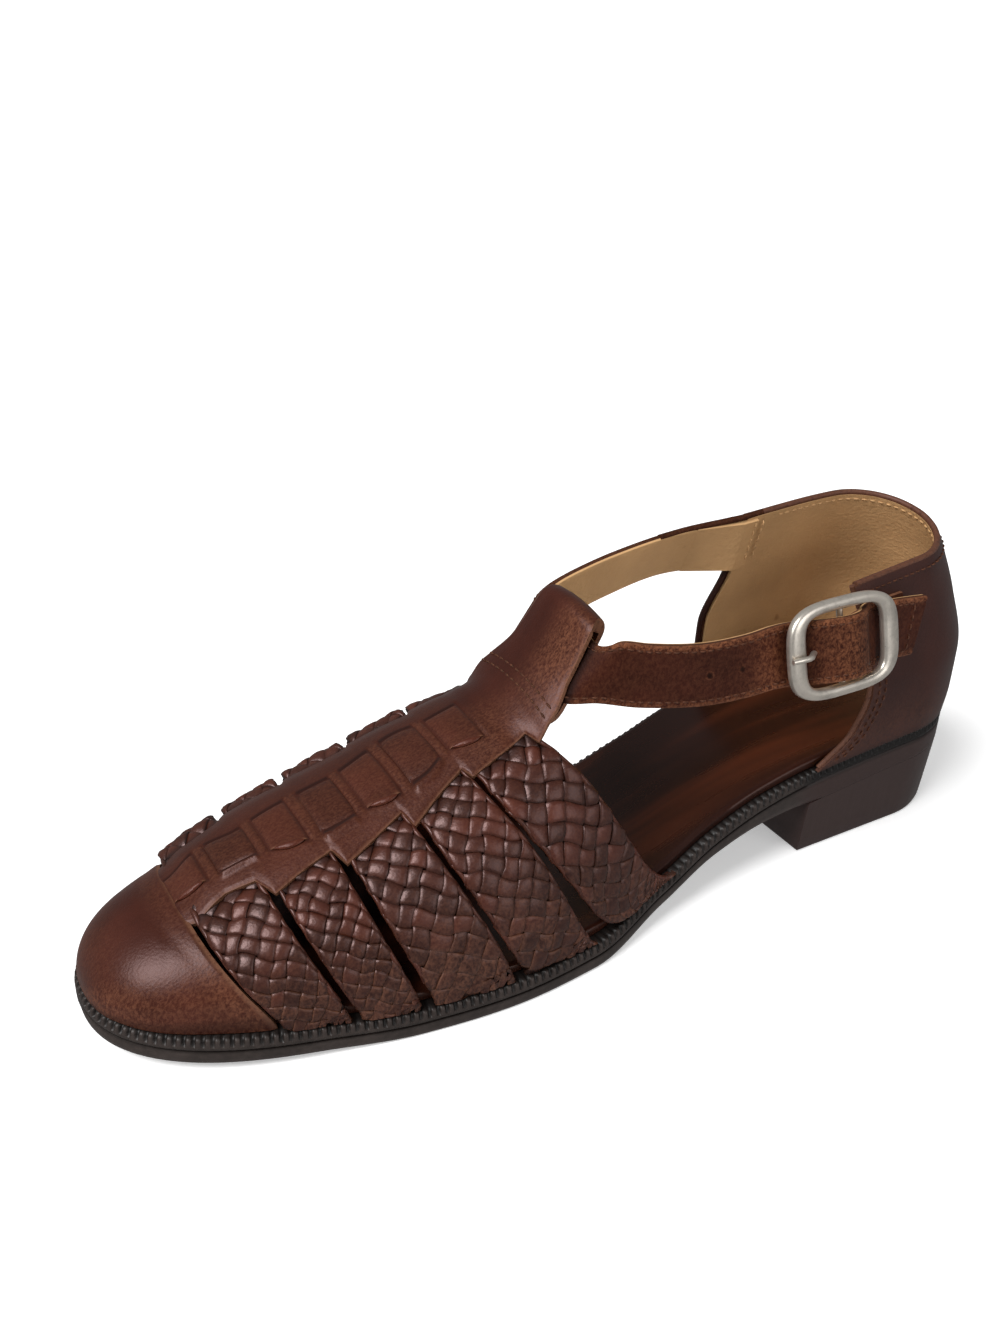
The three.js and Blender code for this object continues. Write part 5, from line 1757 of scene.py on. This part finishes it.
class SANDAL_OT_studio(bpy.types.Operator):
    """Set up the floor, the soft lights and the camera"""

    bl_idname = "sandal.studio"
    bl_label = "Studio"

    def execute(self, context):
        self.floor(context)
        self.lights(context)
        self.camera(context)
        return {"FINISHED"}

    @staticmethod
    def floor(context):
        mesh = bpy.data.meshes.new("studio_floor")
        corners = [(FLOOR_REACH * x, FLOOR_REACH * y, 0) for x, y in ((-1, -1), (1, -1), (1, 1), (-1, 1))]
        mesh.from_pydata(corners, [], [(0, 1, 2, 3)])
        material, tree, shader = shader_nodes("pale_floor")
        fill(tree, shader, {
            "Base Color": mix(tree, noise(tree, 30, 3), (0.9, 0.9, 0.9), (0.93, 0.93, 0.93)),
            "Roughness": 0.8,
            "Emission Color": (1.0, 1.0, 1.0, 1.0),
            "Emission Strength": FLOOR_GLOW,
        })
        mesh.materials.append(material)
        piece = bpy.data.objects.new("studio_floor", mesh)
        piece.visible_glossy = False
        context.scene.collection.objects.link(piece)

    @staticmethod
    def lights(context):
        world = bpy.data.worlds.new("studio_world")
        world.use_nodes = True
        fill(world.node_tree, world.node_tree.nodes["Background"], {0: (1.0, 1.0, 1.0, 1.0), 1: WORLD_GLOW})
        context.scene.world = world
        context.scene.view_settings.view_transform = "Standard"
        sky = bpy.data.lights.new("sky", "SUN")
        sky.energy = SKY_STRENGTH
        sky.angle = SKY_SPREAD
        lamp = bpy.data.objects.new("sky", sky)
        lamp.rotation_euler = SKY_TURN
        context.scene.collection.objects.link(lamp)
        side = bpy.data.lights.new("side", "AREA")
        side.energy = SIDE_LAMP_POWER
        side.size = SIDE_LAMP_SIZE
        lamp = bpy.data.objects.new("side", side)
        lamp.location = SIDE_LAMP_PLACE
        lamp.rotation_mode = "QUATERNION"
        lamp.rotation_quaternion = (SIDE_LAMP_AIM - SIDE_LAMP_PLACE).to_track_quat("-Z", "Y")
        context.scene.collection.objects.link(lamp)

    @staticmethod
    def camera(context):
        turn, rise, roll = (math.radians(v) for v in (CAMERA_AZIMUTH, CAMERA_ELEVATION, CAMERA_ROLL))
        back = Vector((math.sin(turn) * math.cos(rise), -math.cos(turn) * math.cos(rise), math.sin(rise)))
        right = (-back).cross(Vector((0, 0, 1))).normalized()
        up = right.cross(-back)
        tilted_right = right * math.cos(roll) + up * math.sin(roll)
        tilted_up = up * math.cos(roll) - right * math.sin(roll)
        data = bpy.data.cameras.new("camera")
        data.lens = CAMERA_LENS
        data.clip_start = 0.01
        camera = bpy.data.objects.new("camera", data)
        axes = Matrix((tilted_right, tilted_up, back)).transposed().to_4x4()
        camera.matrix_world = Matrix.Translation(Vector(CAMERA_PLACE) * METRE) @ axes
        context.scene.collection.objects.link(camera)
        context.scene.camera = camera


# Settings and panel


def length(name, description, default):
    return bpy.props.FloatProperty(
        name=name, description=description, default=default, unit="LENGTH", precision=5
    )


def colour(name, description, default):
    return bpy.props.FloatVectorProperty(
        name=name, description=description, default=default, subtype="COLOR", size=3, min=0.0, max=1.0
    )


class SandalSizes(bpy.types.PropertyGroup):
    braid_relief: length("Braid relief", "Height of a strip of the braid over its valleys", 0.0013)
    rib_pitch: length("Rib pitch", "Distance between two ribs of the welt", 0.0022)
    rib_depth: length("Rib depth", "Depth of the grooves between the welt's ribs", 0.0009)
    stitch_pitch: length("Stitch pitch", "Distance between two stitches", 0.0024)


class SandalColours(bpy.types.PropertyGroup):
    leather: colour("Leather", "Main colour of the upper", (0.05, 0.0108, 0.0055))
    raw_edge: colour("Raw edge", "Cut edges of the leather", (0.17, 0.075, 0.04))
    worn: colour("Worn leather", "Leather where it is scuffed", (0.23, 0.085, 0.038))
    lining: colour("Lining", "Lining of the counter and the strap", (0.56, 0.335, 0.158))
    foot_bed: colour("Foot bed", "Ground of the polished foot bed", (0.014, 0.004, 0.0025))
    foot_bed_streak: colour("Foot bed streaks", "Streaks of the foot bed", (0.062, 0.015, 0.0065))
    sole: colour("Sole edge", "Outsole and welt", (0.03, 0.0215, 0.0185))
    heel: colour("Heel", "Stacked heel", (0.031, 0.0165, 0.0145))
    nickel: colour("Nickel", "Buckle", (0.74, 0.68, 0.6))
    thread: colour("Thread", "Stitches", (0.068, 0.025, 0.013))


class SANDAL_PT_panel(bpy.types.Panel):
    """Lists the sandal's pieces and settings"""

    bl_idname = "SANDAL_PT_panel"
    bl_label = "Woven Mary Jane Sandal"
    bl_space_type = "VIEW_3D"
    bl_region_type = "UI"
    bl_category = "Sandal"

    def draw(self, context):
        layout = self.layout
        for settings in (context.scene.sandal_sizes, context.scene.sandal_colours):
            box = layout.box()
            for name in settings.__annotations__:
                box.prop(settings, name)
        for operator in OPERATORS:
            layout.operator(operator.bl_idname)


OPERATORS = (
    SANDAL_OT_sole,
    SANDAL_OT_vamp,
    SANDAL_OT_counter,
    SANDAL_OT_strap,
    SANDAL_OT_buckle,
    SANDAL_OT_stitches,
    SANDAL_OT_studio,
)
CLASSES = (SandalSizes, SandalColours, *OPERATORS, SANDAL_PT_panel)


def register():
    for kind in CLASSES:
        bpy.utils.register_class(kind)
    bpy.types.Scene.sandal_sizes = bpy.props.PointerProperty(type=SandalSizes)
    bpy.types.Scene.sandal_colours = bpy.props.PointerProperty(type=SandalColours)


def unregister():
    del bpy.types.Scene.sandal_colours
    del bpy.types.Scene.sandal_sizes
    for kind in reversed(CLASSES):
        bpy.utils.unregister_class(kind)


def main():
    register()
    prepare_finishes(bpy.context.scene.sandal_colours)
    bpy.ops.sandal.studio()
    bpy.ops.sandal.sole()
    bpy.ops.sandal.vamp()
    bpy.ops.sandal.counter()
    bpy.ops.sandal.strap()
    bpy.ops.sandal.buckle()
    bpy.ops.sandal.stitches()
    bpy.context.view_layer.update()


if __name__ == "__main__":
    main()
